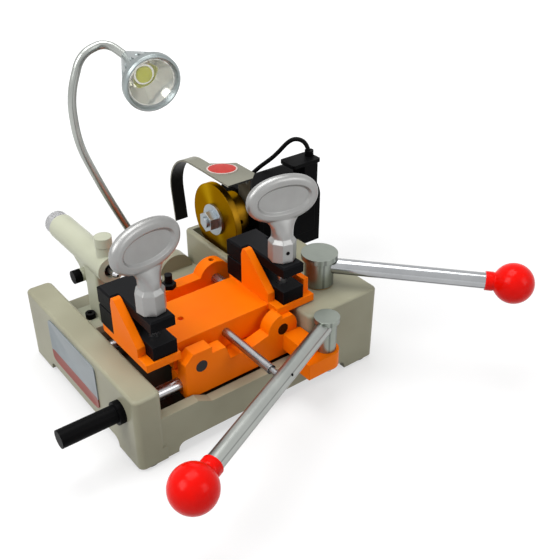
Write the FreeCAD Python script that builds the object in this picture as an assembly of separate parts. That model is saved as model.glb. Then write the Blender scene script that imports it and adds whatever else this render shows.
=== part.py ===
import FreeCAD, Part
import math
import os

V = FreeCAD.Vector

# All sizes are in millimetres, with x to the right, y to the back and z up.
# The origin lies on the bench under the middle of the base.

# Fits
running_fit = 0.04
free_gap = 0.4
same_place = 1e-6

# Base casting
base_width = 280.0
base_depth = 224.0
foot_stand = 3.0
foot_radius = 12.0
foot_inset = 14.0
foot_pad = 28.0
foot_pad_height = 18.0
foot_reach = 40.0
arch_height = 9.0
arch_rounding = 7.2
bench_hole_radius = 3.4
bench_hole_depth = 16.0
left_wall_thick = 27.0
left_wall_top = 80.0
block_width = 89.0
block_top = 87.0
casting_wall = 8.0
block_front_thick = 7.0
block_roof = 10.0
front_wall_thick = 12.0
front_wall_top = 50.0
front_dip = 7.0
front_dip_start_beyond_left = 51.0
front_dip_run = 14.0
tray_bottom = 14.0
tray_thick = 10.0
deck_top = 48.0
deck_front_before_back = 74.0
lobe_x_before_block = 23.0
lobe_radius = 21.0
lobe_top = 67.0
lobe_thick = 16.0
corner_radius = 6.0
edge_radius = 3.0
crank_room_back_beyond_front = 77.0
wiring_room_inset = 33.0

# Cross shaft, its bushes, sleeve and yoke
shaft_radius = 6.5
shaft_y_beyond_front = 26.7
shaft_z = 55.2
shaft_right_beyond_block = 49.0
shaft_bush_wall = 2.0
shaft_stub = 5.0
sleeve_radius = 8.5
sleeve_bore = 7.2
sleeve_length = 58.0
sleeve_end = 3.0
sleeve_collar_radius = 11.0
sleeve_collar_length = 6.0
yoke_length = 26.0
yoke_half_height = 7.2
yoke_wall = 4.4
yoke_slot_play = 0.9
yoke_spigot_radius = 5.0
yoke_spigot_length = 6.0

# Rear guide bar
bar_radius = 6.0
bar_y_before_back = 89.0
bar_z = 40.0
bar_seat = 7.0
bar_bush_wall = 2.5
bar_lug_length = 40.0
bar_lug_x_beyond_left = 93.0
bar_lug_wall = 3.0

# Guide rods of the carriage
rod_radius = 6.0
rod_z = 76.0
rod_left_x_beyond_left = 49.5
rod_right_x_before_block = 22.0
rod_bush_wall = 1.5
rod_boss_wall = 2.0

# Saddle
saddle_front_beyond_front = 13.5
lug_thick = 14.0
left_lug_left_beyond_left = 32.5
left_lug_right_beyond_left = 61.0
left_lug_top = 92.0
left_lug_chamfer = 9.0
web_top = 85.0
web_dip_top = 70.0
web_step_share = 0.3125
web_dip_share = 0.625
web_bottom = 45.0
right_lug_radius = 17.0
lobe_right_before_block = 1.0
lobe_low_top = 76.0
hub_back_beyond_front = 39.0
hub_top = 65.5
bridge_left_beyond_left = 53.0
bridge_right_before_block = 25.0
bridge_bottom = 50.0
bridge_top = 62.0
rear_bar_front_before_back = 96.0
rear_bar_thick = 14.0
rear_bar_top = 83.0
rear_left_beyond_left = 34.0
rear_right_before_block = 11.0
ring_radius = 20.0
left_ring_radius = 15.0
set_screw_radius = 3.0
set_screw_length = 9.0
arm_left_before_block = 22.0
arm_bottom = 52.0
arm_top = 70.0
boss_radius = 13.0
boss_bottom = 38.0
boss_top = 56.0
stop_x_beyond_left = 89.0
stop_y_before_back = 90.0
stop_radius = 4.0
stop_nut_flats = 13.0
stop_nut_height = 5.0
stop_top = 98.0
stop_depth = 14.0

# Feed lever
feed_x_beyond_block = 9.0
feed_y_before_front = 14.0
feed_angle = 204.4
feed_length = 232.0
feed_rod_z = 83.0
feed_hub_radius = 10.0
feed_cap_radius = 12.5
feed_cap_thick = 5.0
feed_top = 93.0
feed_pin_radius = 5.0
feed_pin_top = 72.0
feed_head_flats = 15.0
feed_head_height = 6.0
lever_rod_radius = 8.0
rod_entry = 5.0
ball_radius = 20.0
ball_neck_radius = 9.5
ball_neck_length = 27.0
ball_socket = 10.0
ball_flare_radius = 16.0
ball_flare_length = 16.2
feed_slot_height = 9.4
feed_slot_skin = 3.0
feed_slot_before = 10.5
feed_slot_after = 16.5

# Push rod
push_radius = 4.5
push_beyond_web = 9.5
push_seat = 20.0
push_ball_radius = 4.2
push_neck_radius = 3.0
push_neck_length = 16.0

# Carriage
carriage_left_beyond_left = 33.0
carriage_right_before_block = 23.5
carriage_front_beyond_front = 35.0
carriage_back_beyond_front = 97.0
carriage_bottom = 66.5
carriage_top = 94.0
slab_bottom = 88.5
slab_top = 96.0
slab_front_beyond_front = 20.0
slab_back_beyond_front = 100.0
fin_thick = 8.0
fin_front_top = 105.0
fin_apex_y_beyond_front = 76.0
fin_apex_z = 137.0
fin_apex_flat = 5.0
fin_shoulder_z = 130.0
stub_wall_thick = 6.0
stub_wall_top = 110.0
stub_wall_length = 36.0
block_screw_hole = 3.0
block_screw_x_beyond_left = 61.0
block_screw_y_beyond_front = 66.0

# Vises
left_vise_beyond_left = 19.0
right_vise_before_block = 3.0
slab_reach = 24.0
vise_y_beyond_front = 40.0
key_z = 117.6
key_gap = 2.4
jaw_half_width = 12.0
jaw_front_beyond_front = 22.0
jaw_head_left = 20.3
jaw_head_right = 16.0
jaw_head_front_beyond_front = 79.0
jaw_head_back_beyond_front = 103.0
jaw_top = 136.0
jaw_plate = 11.0
lower_front_top = 110.0
jaw_edge = 1.5
stud_radius = 5.0
stud_top = 156.0
jaw_drop = 1.8

# Wing knobs
knob_gap = 0.8
stem_flats = 25.0
stem_sides = 8
stem_length = 23.0
stem_chamfer = 4.0
neck_radius = 9.5
neck_top_radius = 7.0
neck_length = 20.0
paddle_width = 72.0
paddle_height = 46.0
paddle_thick = 11.0
paddle_z = 199.0
paddle_edge = 3.5
paddle_end_radius = 18.0
panel_margin = 9.0
panel_depth = 1.5
left_paddle_angle = 10.0
right_paddle_angle = -12.0

# Traverse lever and crank
traverse_x_beyond_block = 47.0
traverse_y_beyond_front = 43.0
traverse_angle = -48.4
traverse_length = 190.0
traverse_rod_z = 109.0
traverse_radius = 15.0
traverse_cap_radius = 18.5
traverse_cap_thick = 5.5
traverse_top = 123.0
traverse_stem_radius = 7.0
traverse_stem_bottom = 62.0
traverse_bush_wall = 3.0
traverse_flange_radius = 14.0
traverse_flange_thick = 1.5
crank_length = 26.0
crank_angle = -52.0
crank_pin_radius = 4.0
crank_hub_radius = 11.0
crank_arm_radius = 7.0
crank_bottom = 64.5
crank_thick = 9.0

# Cutter and motor
cutter_y_before_back = 51.0
cutter_radius = 40.0
cutter_left_beyond_block = 9.0
cutter_thick = 7.0
spindle_radius = 6.0
spindle_left_before_block = 5.5
washer_radius = 17.5
washer_thick = 3.0
nut_flats = 20.0
nut_length = 9.0
hub_radius = 24.0
hub_right_beyond_block = 37.0
tommy_hole = 3.0
motor_left_beyond_block = 41.0
motor_right_beyond_block = 127.0
motor_half_width = 37.0
motor_above = 25.0
motor_below = 33.0
motor_shoulder = 17.0
motor_skin = 3.0
bell_thick = 7.0
bell_boss_radius = 18.0
bell_boss_length = 6.0
bearing_radius = 14.0
bearing_length = 8.0
stator_bore = 13.0
stator_length = 50.0
air_gap = 0.6
motor_foot_left_beyond_block = 47.0
foot_screw_span = 26.0
pocket_floor = 70.0
pocket_front_before_back = 98.0
pocket_left_beyond_block = 33.0
slot_left_beyond_block = 6.0
slot_right_beyond_block = 23.0
slot_front_before_back = 94.0
slot_back_before_back = 8.0
slot_floor = 72.0
foot_screw_inset = 7.0

# Terminal box and motor lead
terminal_left_beyond_block = 97.0
terminal_right_beyond_block = 136.0
terminal_front_before_back = 77.0
terminal_back_before_back = 52.0
terminal_top = 164.0
terminal_lid = 4.0
terminal_depth = 20.0
terminal_bottom = 124.0
terminal_lip = 2.0
terminal_width = 19.0
gland_radius = 5.0
gland_height = 6.0
lead_radius = 2.5
lead_steps = [
    (-5.0, -10.0, 164.0),
    (-5.5, -9.0, 173.0),
    (-9.0, -2.0, 181.0),
    (-17.0, 9.0, 180.0),
    (-28.0, 22.0, 158.0),
    (-38.0, 39.5, 140.5),
    (-48.0, 47.0, 128.0),
    (-54.0, 48.0, 104.0),
    (-56.0, 47.5, 72.0),
]

# Guard
guard_thick = 2.0
guard_top = 171.0
guard_left_beyond_block = 5.0
guard_right_beyond_block = 45.0
guard_front_before_back = 85.0
guard_step_before_back = 27.0
guard_strip = 16.0
guard_bend_before_back = 11.0
guard_bend_radius = 44.0
guard_lean = 8.0
guard_end = 84.0
guard_nose = 9.0
tab_width = 22.0
tab_bottom = 128.0
tab_hole = 3.0

# Tracer
tracer_radius = 14.0
tracer_bore = 7.5
tracer_front_before_back = 78.0
tracer_back_beyond_back = 33.0
tracer_tip_before_back = 91.0
tracer_nose_radius = 4.0
tracer_post_width = 25.0
tracer_post_front_before_back = 67.0
tracer_post_back_before_back = 40.0
tracer_web_width = 12.0
tracer_web_low = 62.0
tracer_web_back_beyond_back = 16.0
tracer_web_foot_before_back = 12.0
tracer_flange_width = 50.0
tracer_flange_depth = 44.0
tracer_flange_thick = 8.0
pin_seat = 4.0
pin_back_beyond_back = 28.0
pin_hole = 30.0
thimble_radius = 13.0
thimble_length = 14.0
thimble_stem_radius = 4.0
thimble_stem = 25.0
lock_y_before_back = 67.0
lock_boss_radius = 8.0
lock_boss_top = 140.0
lock_cap_radius = 8.5
lock_cap_height = 10.0
lock_stem_radius = 3.0
side_knob_y_before_back = 28.0
side_knob_z = 92.0
side_knob_radius = 7.0
side_knob_length = 8.0
side_stem_radius = 3.0

# Lamp
lamp_x_before_block = 59.0
lamp_y_before_back = 24.0
lamp_socket_radius = 11.0
lamp_socket_flange = 6.0
lamp_collar_radius = 7.0
lamp_socket_height = 18.0
neck_tube_radius = 4.0
neck_tube_wall = 1.0
neck_steps = [
    (0.0, 0.0, 54.0),
    (-3.0, 0.0, 84.0),
    (-24.0, 0.0, 128.0),
    (-46.0, 0.0, 180.0),
    (-64.0, 0.0, 230.0),
    (-65.0, 0.0, 275.0),
    (-50.0, 0.0, 311.0),
    (-24.0, 0.0, 318.0),
    (-11.5, -16.0, 305.0),
]
head_length = 58.0
head_radius = 26.5
head_neck_radius = 6.5
head_rim = 9.0
head_skin = 2.5
head_lean = -0.15
head_turn = -0.12
light_depth = 22.0
light_radius = 8.0
reflector_skin = 1.0
lens_thick = 2.0
lens_inset = 2.0

# Switch and mains inlet
switch_y_before_back = 92.0
switch_z = 38.0
switch_length = 28.0
switch_height = 22.0
switch_depth = 12.0
switch_flange = 2.0
switch_rim = 3.0
rocker_pivot_radius = 2.0
rocker_tilt = 12.0
rocker_taper = 0.8
rocker_pin_end = 1.0
inlet_x_beyond_block = 57.0
inlet_z = 36.0
inlet_width = 27.0
inlet_height = 20.0
inlet_depth = 18.0
inlet_flange = 2.0
inlet_rim = 4.0
inlet_cavity = 12.0
inlet_pin = 1.5

# Cap screws
cap_radius = 5.0
cap_height = 6.0
shank_radius = 3.0
shank_grip = 10.0
hex_socket = 5.0

# Places worked out from the sizes above
left_out = -base_width / 2
right_out = base_width / 2
front_out = -base_depth / 2
back_out = base_depth / 2
left_in = left_out + left_wall_thick
block_left = right_out - block_width
front_in = front_out + front_wall_thick
front_dip_start = left_in + front_dip_start_beyond_left
bar_lug_x = left_in + bar_lug_x_beyond_left
rod_left_x = left_in + rod_left_x_beyond_left
left_lug_left = left_in + left_lug_left_beyond_left
left_lug_right = left_in + left_lug_right_beyond_left
bridge_left = left_in + bridge_left_beyond_left
rear_left = left_in + rear_left_beyond_left
stop_x = left_in + stop_x_beyond_left
carriage_left = left_in + carriage_left_beyond_left
block_screw_x = left_in + block_screw_x_beyond_left
lobe_x = block_left - lobe_x_before_block
shaft_right = block_left + shaft_right_beyond_block
rod_right_x = block_left - rod_right_x_before_block
lobe_right = block_left - lobe_right_before_block
bridge_right = block_left - bridge_right_before_block
rear_right = block_left - rear_right_before_block
arm_left = block_left - arm_left_before_block
feed_x = block_left + feed_x_beyond_block
carriage_right = block_left - carriage_right_before_block
traverse_x = block_left + traverse_x_beyond_block
cutter_left = block_left + cutter_left_beyond_block
spindle_left = block_left - spindle_left_before_block
hub_right = block_left + hub_right_beyond_block
motor_left = block_left + motor_left_beyond_block
motor_right = block_left + motor_right_beyond_block
motor_foot_left = block_left + motor_foot_left_beyond_block
pocket_left = block_left + pocket_left_beyond_block
slot_left = block_left + slot_left_beyond_block
slot_right = block_left + slot_right_beyond_block
terminal_left = block_left + terminal_left_beyond_block
terminal_right = block_left + terminal_right_beyond_block
guard_left = block_left + guard_left_beyond_block
guard_right = block_left + guard_right_beyond_block
inlet_x = block_left + inlet_x_beyond_block
lamp_x = block_left - lamp_x_before_block
shaft_y = front_out + shaft_y_beyond_front
saddle_front = front_out + saddle_front_beyond_front
hub_back = front_out + hub_back_beyond_front
feed_y = front_out - feed_y_before_front
traverse_y = front_out + traverse_y_beyond_front
carriage_front = front_out + carriage_front_beyond_front
carriage_back = front_out + carriage_back_beyond_front
slab_front = front_out + slab_front_beyond_front
slab_back = front_out + slab_back_beyond_front
fin_apex_y = front_out + fin_apex_y_beyond_front
vise_y = front_out + vise_y_beyond_front
jaw_front = front_out + jaw_front_beyond_front
jaw_head_front = front_out + jaw_head_front_beyond_front
jaw_head_back = front_out + jaw_head_back_beyond_front
block_screw_y = front_out + block_screw_y_beyond_front
crank_room_back = front_out + crank_room_back_beyond_front
deck_front = back_out - deck_front_before_back
bar_y = back_out - bar_y_before_back
rear_bar_front = back_out - rear_bar_front_before_back
stop_y = back_out - stop_y_before_back
cutter_y = back_out - cutter_y_before_back
pocket_front = back_out - pocket_front_before_back
slot_front = back_out - slot_front_before_back
slot_back = back_out - slot_back_before_back
terminal_front = back_out - terminal_front_before_back
terminal_back = back_out - terminal_back_before_back
guard_front = back_out - guard_front_before_back
guard_step = back_out - guard_step_before_back
guard_bend = back_out - guard_bend_before_back
tracer_front = back_out - tracer_front_before_back
tracer_back = back_out + tracer_back_beyond_back
tracer_tip = back_out - tracer_tip_before_back
tracer_post_front = back_out - tracer_post_front_before_back
tracer_post_back = back_out - tracer_post_back_before_back
tracer_web_back = back_out + tracer_web_back_beyond_back
tracer_web_foot = back_out - tracer_web_foot_before_back
pin_back = back_out + pin_back_beyond_back
lock_y = back_out - lock_y_before_back
side_knob_y = back_out - side_knob_y_before_back
lamp_y = back_out - lamp_y_before_back
switch_y = back_out - switch_y_before_back
wiring_room_front = crank_room_back + casting_wall
shaft_left = left_out - shaft_stub
left_vise_x = left_in + left_vise_beyond_left
right_vise_x = block_left - right_vise_before_block
vise_spacing = right_vise_x - left_vise_x
left_slab_left = left_vise_x - jaw_head_left
right_slab_right = right_vise_x + slab_reach
fin_rear = jaw_head_front - free_gap
web_run = rod_right_x - right_lug_radius - left_lug_right
web_right = left_lug_right + web_step_share * web_run
web_dip_right = left_lug_right + web_dip_share * web_run
push_x = web_right + push_beyond_web
push_reach = feed_x - push_x
feed_slot_near = push_reach - feed_slot_before
feed_slot_far = push_reach + feed_slot_after
lead_route = [(terminal_right + x, terminal_back + y, z) for x, y, z in lead_steps]
neck_route = [(lamp_x + x, lamp_y + y, z) for x, y, z in neck_steps]
tray_top = tray_bottom + tray_thick
lug_back = saddle_front + lug_thick
rear_bar_back = rear_bar_front + rear_bar_thick
anvil_top = key_z - key_gap / 2
lip_bottom = key_z + key_gap / 2
cutter_z = key_z
cutter_right = cutter_left + cutter_thick
tracer_x = (cutter_left + cutter_right) / 2 - vise_spacing
tracer_z = key_z
shaft_bush_radius = shaft_radius + shaft_bush_wall
bar_bush_radius = bar_radius + bar_bush_wall
bar_lug_radius = bar_bush_radius + bar_lug_wall
rod_bush_radius = rod_radius + rod_bush_wall
traverse_bush_radius = traverse_stem_radius + traverse_bush_wall
crank_pin_x = traverse_x + crank_length * math.cos(math.radians(crank_angle))
crank_pin_y = traverse_y + crank_length * math.sin(math.radians(crank_angle))
foot_places = [
    (sx * (right_out - foot_inset), sy * (back_out - foot_inset)) for sx in (-1, 1) for sy in (-1, 1)
]
tracer_flange_y = (tracer_post_front + tracer_post_back) / 2
tracer_screws = [
    (tracer_x + sx * (tracer_flange_width / 2 - foot_screw_inset), tracer_flange_y)
    for sx in (-1, 1)
]
motor_front = cutter_y - motor_half_width
motor_back = cutter_y + motor_half_width
motor_screws = [
    (x, y)
    for x in (motor_foot_left + foot_screw_inset, motor_foot_left + foot_screw_inset + foot_screw_span)
    for y in (motor_front + foot_screw_inset, motor_back - foot_screw_inset)
]
motor_foot_flange = pocket_floor + casting_wall
head_axis = V(head_turn, -1.0, head_lean)
head_axis.normalize()
head_start = V(*neck_route[-1])

AXES = {"x": V(1, 0, 0), "y": V(0, 1, 0), "z": V(0, 0, 1)}


def point(axis, along, across):
    """Point from its place along an axis and its other two coordinates in x, y, z order."""
    a, b = across
    return {"x": V(along, a, b), "y": V(a, along, b), "z": V(a, b, along)}[axis]


def block(x, y, z):
    """Box between pairs of limits."""
    return Part.makeBox(x[1] - x[0], y[1] - y[0], z[1] - z[0], V(x[0], y[0], z[0]))


def rod(axis, across, radius, ends):
    """Cylinder along an axis between two ends."""
    return Part.makeCylinder(radius, ends[1] - ends[0], point(axis, ends[0], across), AXES[axis])


def tube(axis, across, outer, inner, ends):
    """Cylinder with a bore."""
    return rod(axis, across, outer, ends).cut(rod(axis, across, inner, ends))


def cone(axis, across, radii, ends):
    """Cone between two ends."""
    return Part.makeCone(radii[0], radii[1], ends[1] - ends[0], point(axis, ends[0], across), AXES[axis])


def prism(axis, corners, ends):
    """Polygon extruded along an axis."""
    points = [point(axis, ends[0], corner) for corner in corners]
    face = Part.Face(Part.makePolygon(points + points[:1]))
    return face.extrude(AXES[axis] * (ends[1] - ends[0]))


def polygon_bar(axis, across, flats, sides, ends):
    """Regular prism, given across its flats."""
    corner = flats / 2 / math.cos(math.pi / sides)
    turns = [math.pi * (2 * k + 1) / sides for k in range(sides)]
    corners = [(across[0] + corner * math.cos(t), across[1] + corner * math.sin(t)) for t in turns]
    return prism(axis, corners, ends)


def turned(profile, start, axis):
    """Solid of revolution: profile points are (along, radius), set from a start point along an axis."""
    corners = [V(radius, 0, along) for along, radius in profile]
    face = Part.Face(Part.makePolygon(corners + corners[:1]))
    solid = face.revolve(V(0, 0, 0), V(0, 0, 1), 360)
    turn = FreeCAD.Rotation(V(0, 0, 1), axis)
    solid.Placement = FreeCAD.Placement(start, turn)
    return solid


def join(first, *rest):
    """Fused solid without seams on flat faces."""
    return first.multiFuse(list(rest)).removeSplitter()


def straight_edges(shape, axis, wanted):
    """Edges parallel to an axis whose middle passes the test."""
    picked = []
    for edge in shape.Edges:
        ends = [vertex.Point for vertex in edge.Vertexes]
        if len(ends) == 2 and (
            ends[1] - ends[0]
        ).cross(AXES[axis]).Length < same_place and wanted(edge.CenterOfMass):
            picked.append(edge)
    return picked


def soft_block(x, y, z):
    """Casting block with rounded upright corners and a rounded top rim."""
    shape = block(x, y, z)
    shape = shape.makeFillet(corner_radius, straight_edges(shape, "z", lambda p: True))
    rim = [edge for edge in shape.Edges if abs(edge.CenterOfMass.z - z[1]) < same_place]
    return shape.makeFillet(edge_radius, rim)


def swept(route, radius, bore=0.0):
    """Tube on straight runs joined by tangent arcs; also gives the path's length and least bend radius."""
    points = [V(*p) for p in route]
    pieces = []
    at = points[0]
    radii = []
    for before, here, after in zip(points, points[1:], points[2:]):
        back = before - here
        on = after - here
        half_turn = (math.pi - back.getAngle(on)) / 2
        reach = 0.45 * min(back.Length, on.Length)
        radii.append(reach / math.tan(half_turn))
        back.normalize()
        on.normalize()
        start = here + back * reach
        end = here + on * reach
        bisector = back + on
        bisector.normalize()
        depth = radii[-1] / math.cos(half_turn) - radii[-1]
        pieces.append(Part.LineSegment(at, start).toShape())
        pieces.append(Part.Arc(start, here + bisector * depth, end).toShape())
        at = end
    pieces.append(Part.LineSegment(at, points[-1]).toShape())
    wire = Part.Wire(pieces)

    def pipe(r):
        ring = Part.Wire(Part.makeCircle(r, points[0], points[1] - points[0]))
        return wire.makePipeShell([ring], True, False)

    shape = pipe(radius)
    if bore:
        shape = shape.cut(pipe(bore))
    return shape, wire.Length, min(radii)


def lever_point(x, y, angle, distance, z):
    """Point out along a lever."""
    turn = math.radians(angle)
    return V(x + distance * math.cos(turn), y + distance * math.sin(turn), z)


def lever_axis(angle):
    return V(math.cos(math.radians(angle)), math.sin(math.radians(angle)), 0)


os.makedirs("parts", exist_ok=True)


def save(name, *solids):
    """Writes one node and reports anything that isn't sound."""
    shape = solids[0] if len(solids) == 1 else Part.makeCompound(list(solids))
    if not shape.isValid() or shape.Volume <= 0:
        print("not sound:", name)
    shape.exportStep("parts/" + name + ".step")


# Base casting
def arch(limits_x, limits_y):
    """Rounded relief between two cast feet."""
    z = (0.0, foot_stand + arch_height)
    shape = block(limits_x, limits_y, z)
    along = "y" if limits_y[1] - limits_y[0] > base_depth else "x"
    return shape.makeFillet(
        arch_rounding, straight_edges(shape, along, lambda p: abs(p.z - z[1]) < same_place)
    )


def foot_block(sx, sy):
    """Solid corner over one cast foot."""
    x = sorted((sx * right_out, sx * (right_out - foot_pad)))
    y = sorted((sy * back_out, sy * (back_out - foot_pad)))
    shape = block(x, y, (foot_stand, foot_pad_height))
    outer = straight_edges(
        shape, "z", lambda p: abs(p.x) > right_out - same_place and abs(p.y) > back_out - same_place,
    )
    return shape.makeFillet(corner_radius, outer)


def base_casting():
    over = 1.0
    bottom = foot_stand
    dip_z = front_wall_top - front_dip
    front_outline = [
        (left_in - corner_radius, bottom),
        (block_left + corner_radius, bottom),
        (block_left + corner_radius, dip_z),
        (front_dip_start, dip_z),
        (front_dip_start - front_dip_run, front_wall_top),
        (left_in - corner_radius, front_wall_top),
    ]
    between = (left_in - corner_radius, block_left + corner_radius)
    shape = join(
        soft_block((left_out, left_in), (front_out, back_out), (bottom, left_wall_top)),
        soft_block((block_left, right_out), (front_out, back_out), (bottom, block_top)),
        prism("y", front_outline, (front_out + over, front_in)),
        block(between, (front_in - over, deck_front + over), (tray_bottom, tray_top)),
        block(between, (deck_front, back_out - over), (bottom, deck_top)),
        rod(
            "y",
            (lobe_x, lobe_top - lobe_radius),
            lobe_radius,
            (back_out - over - lobe_thick, back_out - over),
        ),
    )
    rooms = [
        block(
            (block_left + casting_wall, right_out - casting_wall),
            (front_out + block_front_thick, crank_room_back),
            (0.0, block_top - block_roof),
        ),
        block(
            (block_left + wiring_room_inset, right_out - casting_wall),
            (wiring_room_front, back_out - casting_wall),
            (0.0, pocket_floor - block_roof),
        ),
        block(
            (left_in, block_left),
            (deck_front + casting_wall, back_out - casting_wall),
            (0.0, deck_top - casting_wall),
        ),
        block(
            (left_out + casting_wall, left_in - casting_wall),
            (shaft_y + 3 * casting_wall, back_out - casting_wall),
            (0.0, left_wall_top - casting_wall),
        ),
    ]
    shape = shape.cut(Part.makeCompound(rooms))
    pads = [foot_block(sx, sy) for sx in (-1, 1) for sy in (-1, 1)]
    shape = join(shape, *pads)
    cuts = [
        arch((-(right_out - foot_reach), right_out - foot_reach), (front_out - over, back_out + over)),
        arch((left_out - over, right_out + over), (-(back_out - foot_reach), back_out - foot_reach)),
        block(
            (pocket_left, right_out + over),
            (pocket_front, back_out + over),
            (pocket_floor, block_top + over),
        ),
        block((slot_left, slot_right), (slot_front, slot_back), (slot_floor, block_top + over)),
        rod("x", (shaft_y, shaft_z), shaft_bush_radius, (left_out - over, left_in + over)),
        rod(
            "x",
            (shaft_y, shaft_z),
            shaft_bush_radius,
            (block_left - over, block_left + casting_wall + over),
        ),
        rod("x", (bar_y, bar_z), bar_radius, (left_in - bar_seat, block_left + bar_seat)),
        rod(
            "z",
            (traverse_x, traverse_y),
            traverse_bush_radius,
            (block_top - block_roof - over, block_top + over),
        ),
        block(
            (right_out - casting_wall - over, right_out + over),
            (switch_y - switch_length / 2, switch_y + switch_length / 2),
            (switch_z - switch_height / 2, switch_z + switch_height / 2),
        ),
        block(
            (inlet_x - inlet_width / 2, inlet_x + inlet_width / 2),
            (back_out - casting_wall - over, back_out + over),
            (inlet_z - inlet_height / 2, inlet_z + inlet_height / 2),
        ),
        rod(
            "z",
            (lead_route[-1][0], lead_route[-1][1]),
            gland_radius,
            (pocket_floor - block_roof - over, block_top),
        ),
    ]
    cuts += [
        rod("z", place, bench_hole_radius, (0.0, foot_stand + bench_hole_depth)) for place in foot_places
    ]
    cuts += [
        rod("z", place, shank_radius, (deck_top - shank_grip, deck_top + over))
        for place in tracer_screws
    ]
    cuts += [
        rod("z", place, shank_radius, (pocket_floor - block_roof, block_top)) for place in motor_screws
    ]
    return shape.cut(Part.makeCompound(cuts))


save("base_casting", base_casting())
save(
    "rubber_feet",
    *[tube("z", place, foot_radius, bench_hole_radius, (0.0, foot_stand)) for place in foot_places],
)


# Cross shaft with its bushes, end sleeve and yoke
shaft_place = (shaft_y, shaft_z)
save(
    "shaft_bushes",
    tube("x", shaft_place, shaft_bush_radius, shaft_radius + running_fit, (left_out, left_in)),
    tube(
        "x",
        shaft_place,
        shaft_bush_radius,
        shaft_radius + running_fit,
        (block_left, block_left + casting_wall),
    ),
)
sleeve = join(
    rod("x", shaft_place, sleeve_radius, (left_out - sleeve_length, left_out)),
    rod("x", shaft_place, sleeve_collar_radius, (left_out - sleeve_collar_length, left_out)),
)
save(
    "end_sleeve",
    sleeve.cut(rod("x", shaft_place, sleeve_bore, (left_out - sleeve_length + sleeve_end, left_out))),
)
save(
    "cross_shaft",
    join(
        rod("x", shaft_place, shaft_radius, (shaft_left, shaft_right)),
        rod("x", shaft_place, yoke_spigot_radius, (shaft_right, shaft_right + yoke_spigot_length)),
    ),
)
yoke_slot_half = crank_pin_radius + yoke_slot_play
yoke_slot_front = traverse_y - crank_length - yoke_slot_half
yoke_slot_back = crank_pin_y + yoke_slot_half
yoke_z = (shaft_z - yoke_half_height, shaft_z + yoke_half_height)
yoke = block(
    (shaft_right, shaft_right + yoke_length), (
        yoke_slot_front - yoke_wall, yoke_slot_back + yoke_wall,
    ), yoke_z
)
yoke_slot_x = (crank_pin_x - yoke_slot_half, crank_pin_x + yoke_slot_half)
yoke = yoke.cut(block(yoke_slot_x, (yoke_slot_front, yoke_slot_back), yoke_z))
save(
    "shaft_yoke",
    yoke.cut(rod("x", shaft_place, yoke_spigot_radius, (shaft_right, shaft_right + yoke_spigot_length))),
)


# Rear guide bar and its bush
bar_place = (bar_y, bar_z)
bar_lug = (bar_lug_x - bar_lug_length / 2, bar_lug_x + bar_lug_length / 2)
save("rear_guide_bar", rod("x", bar_place, bar_radius, (left_in - bar_seat, block_left + bar_seat)))
save("rear_bush", tube("x", bar_place, bar_bush_radius, bar_radius + running_fit, bar_lug))


# Saddle casting
def saddle():
    front = (saddle_front, lug_back)
    left_lug = prism(
        "y",
        [
            (left_lug_left, web_bottom),
            (left_lug_right, web_bottom),
            (left_lug_right, left_lug_top),
            (left_lug_left + left_lug_chamfer, left_lug_top),
            (left_lug_left, left_lug_top - left_lug_chamfer),
        ],
        front,
    )
    web = prism(
        "y",
        [
            (left_lug_right, web_bottom),
            (lobe_right, arm_bottom),
            (lobe_right, lobe_low_top - right_lug_radius / 2),
            (rod_right_x + right_lug_radius / 2, lobe_low_top),
            (rod_right_x - right_lug_radius, rod_z),
            (web_dip_right, web_dip_top),
            (web_right, web_dip_top),
            (web_right - (web_top - web_dip_top) / 3, web_top),
            (left_lug_right, web_top),
        ],
        front,
    )
    arm = block((arm_left, lobe_right), (feed_y, saddle_front), (arm_bottom, arm_top))
    reach = block(
        (arm_left, feed_x),
        (feed_y - boss_radius, feed_y + boss_radius),
        (arm_bottom - boss_radius, boss_top),
    )
    boss = rod("z", (feed_x, feed_y), boss_radius, (boss_bottom, boss_top))
    hub = block(
        (left_lug_left, lobe_right - lug_thick / 2), (saddle_front, hub_back), (web_bottom, hub_top),
    )
    bridge = block((bridge_left, bridge_right), (hub_back, rear_bar_front), (bridge_bottom, bridge_top))
    rear = block((rear_left, rear_right), (rear_bar_front, rear_bar_back), (bridge_bottom, rear_bar_top))
    rings = [
        rod("y", (rod_left_x, rod_z), left_ring_radius, (rear_bar_front, rear_bar_back)),
        rod("y", (rod_right_x, rod_z), ring_radius, (rear_bar_front, rear_bar_back)),
    ]
    bar_boss = rod("x", bar_place, bar_lug_radius, bar_lug)
    right_lug = rod("y", (rod_right_x, rod_z), right_lug_radius, front)
    milled = block(
        (carriage_right - free_gap, rod_right_x + 2 * right_lug_radius),
        front,
        (slab_bottom - free_gap, rod_z + 2 * right_lug_radius),
    )
    right_lug = right_lug.cut(milled)
    shape = join(left_lug, web, right_lug, arm, reach, boss, hub, bridge, rear, *rings, bar_boss)
    cuts = [
        rod("x", shaft_place, shaft_radius, (left_lug_left, lobe_right)),
        rod("x", bar_place, bar_bush_radius, bar_lug),
        rod("z", (feed_x, feed_y), feed_pin_radius, (boss_bottom, boss_top)),
        rod("z", (stop_x, stop_y), stop_radius, (rear_bar_top - stop_depth, rear_bar_top)),
    ]
    cuts += [
        rod("y", (x, rod_z), rod_radius, (saddle_front, rear_bar_back))
        for x in (rod_left_x, rod_right_x)
    ]
    screw_y = (rear_bar_front + rear_bar_back) / 2
    cuts += [
        rod("z", (x, screw_y), set_screw_radius, (rod_z, rod_z + 2 * ring_radius))
        for x in (rod_left_x, rod_right_x)
    ]
    return shape.cut(Part.makeCompound(cuts))


save("saddle", saddle())
save(
    "guide_rods",
    *[
        rod("y", (x, rod_z), rod_radius, (saddle_front, rear_bar_back))
        for x in (rod_left_x, rod_right_x)
    ],
)


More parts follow.
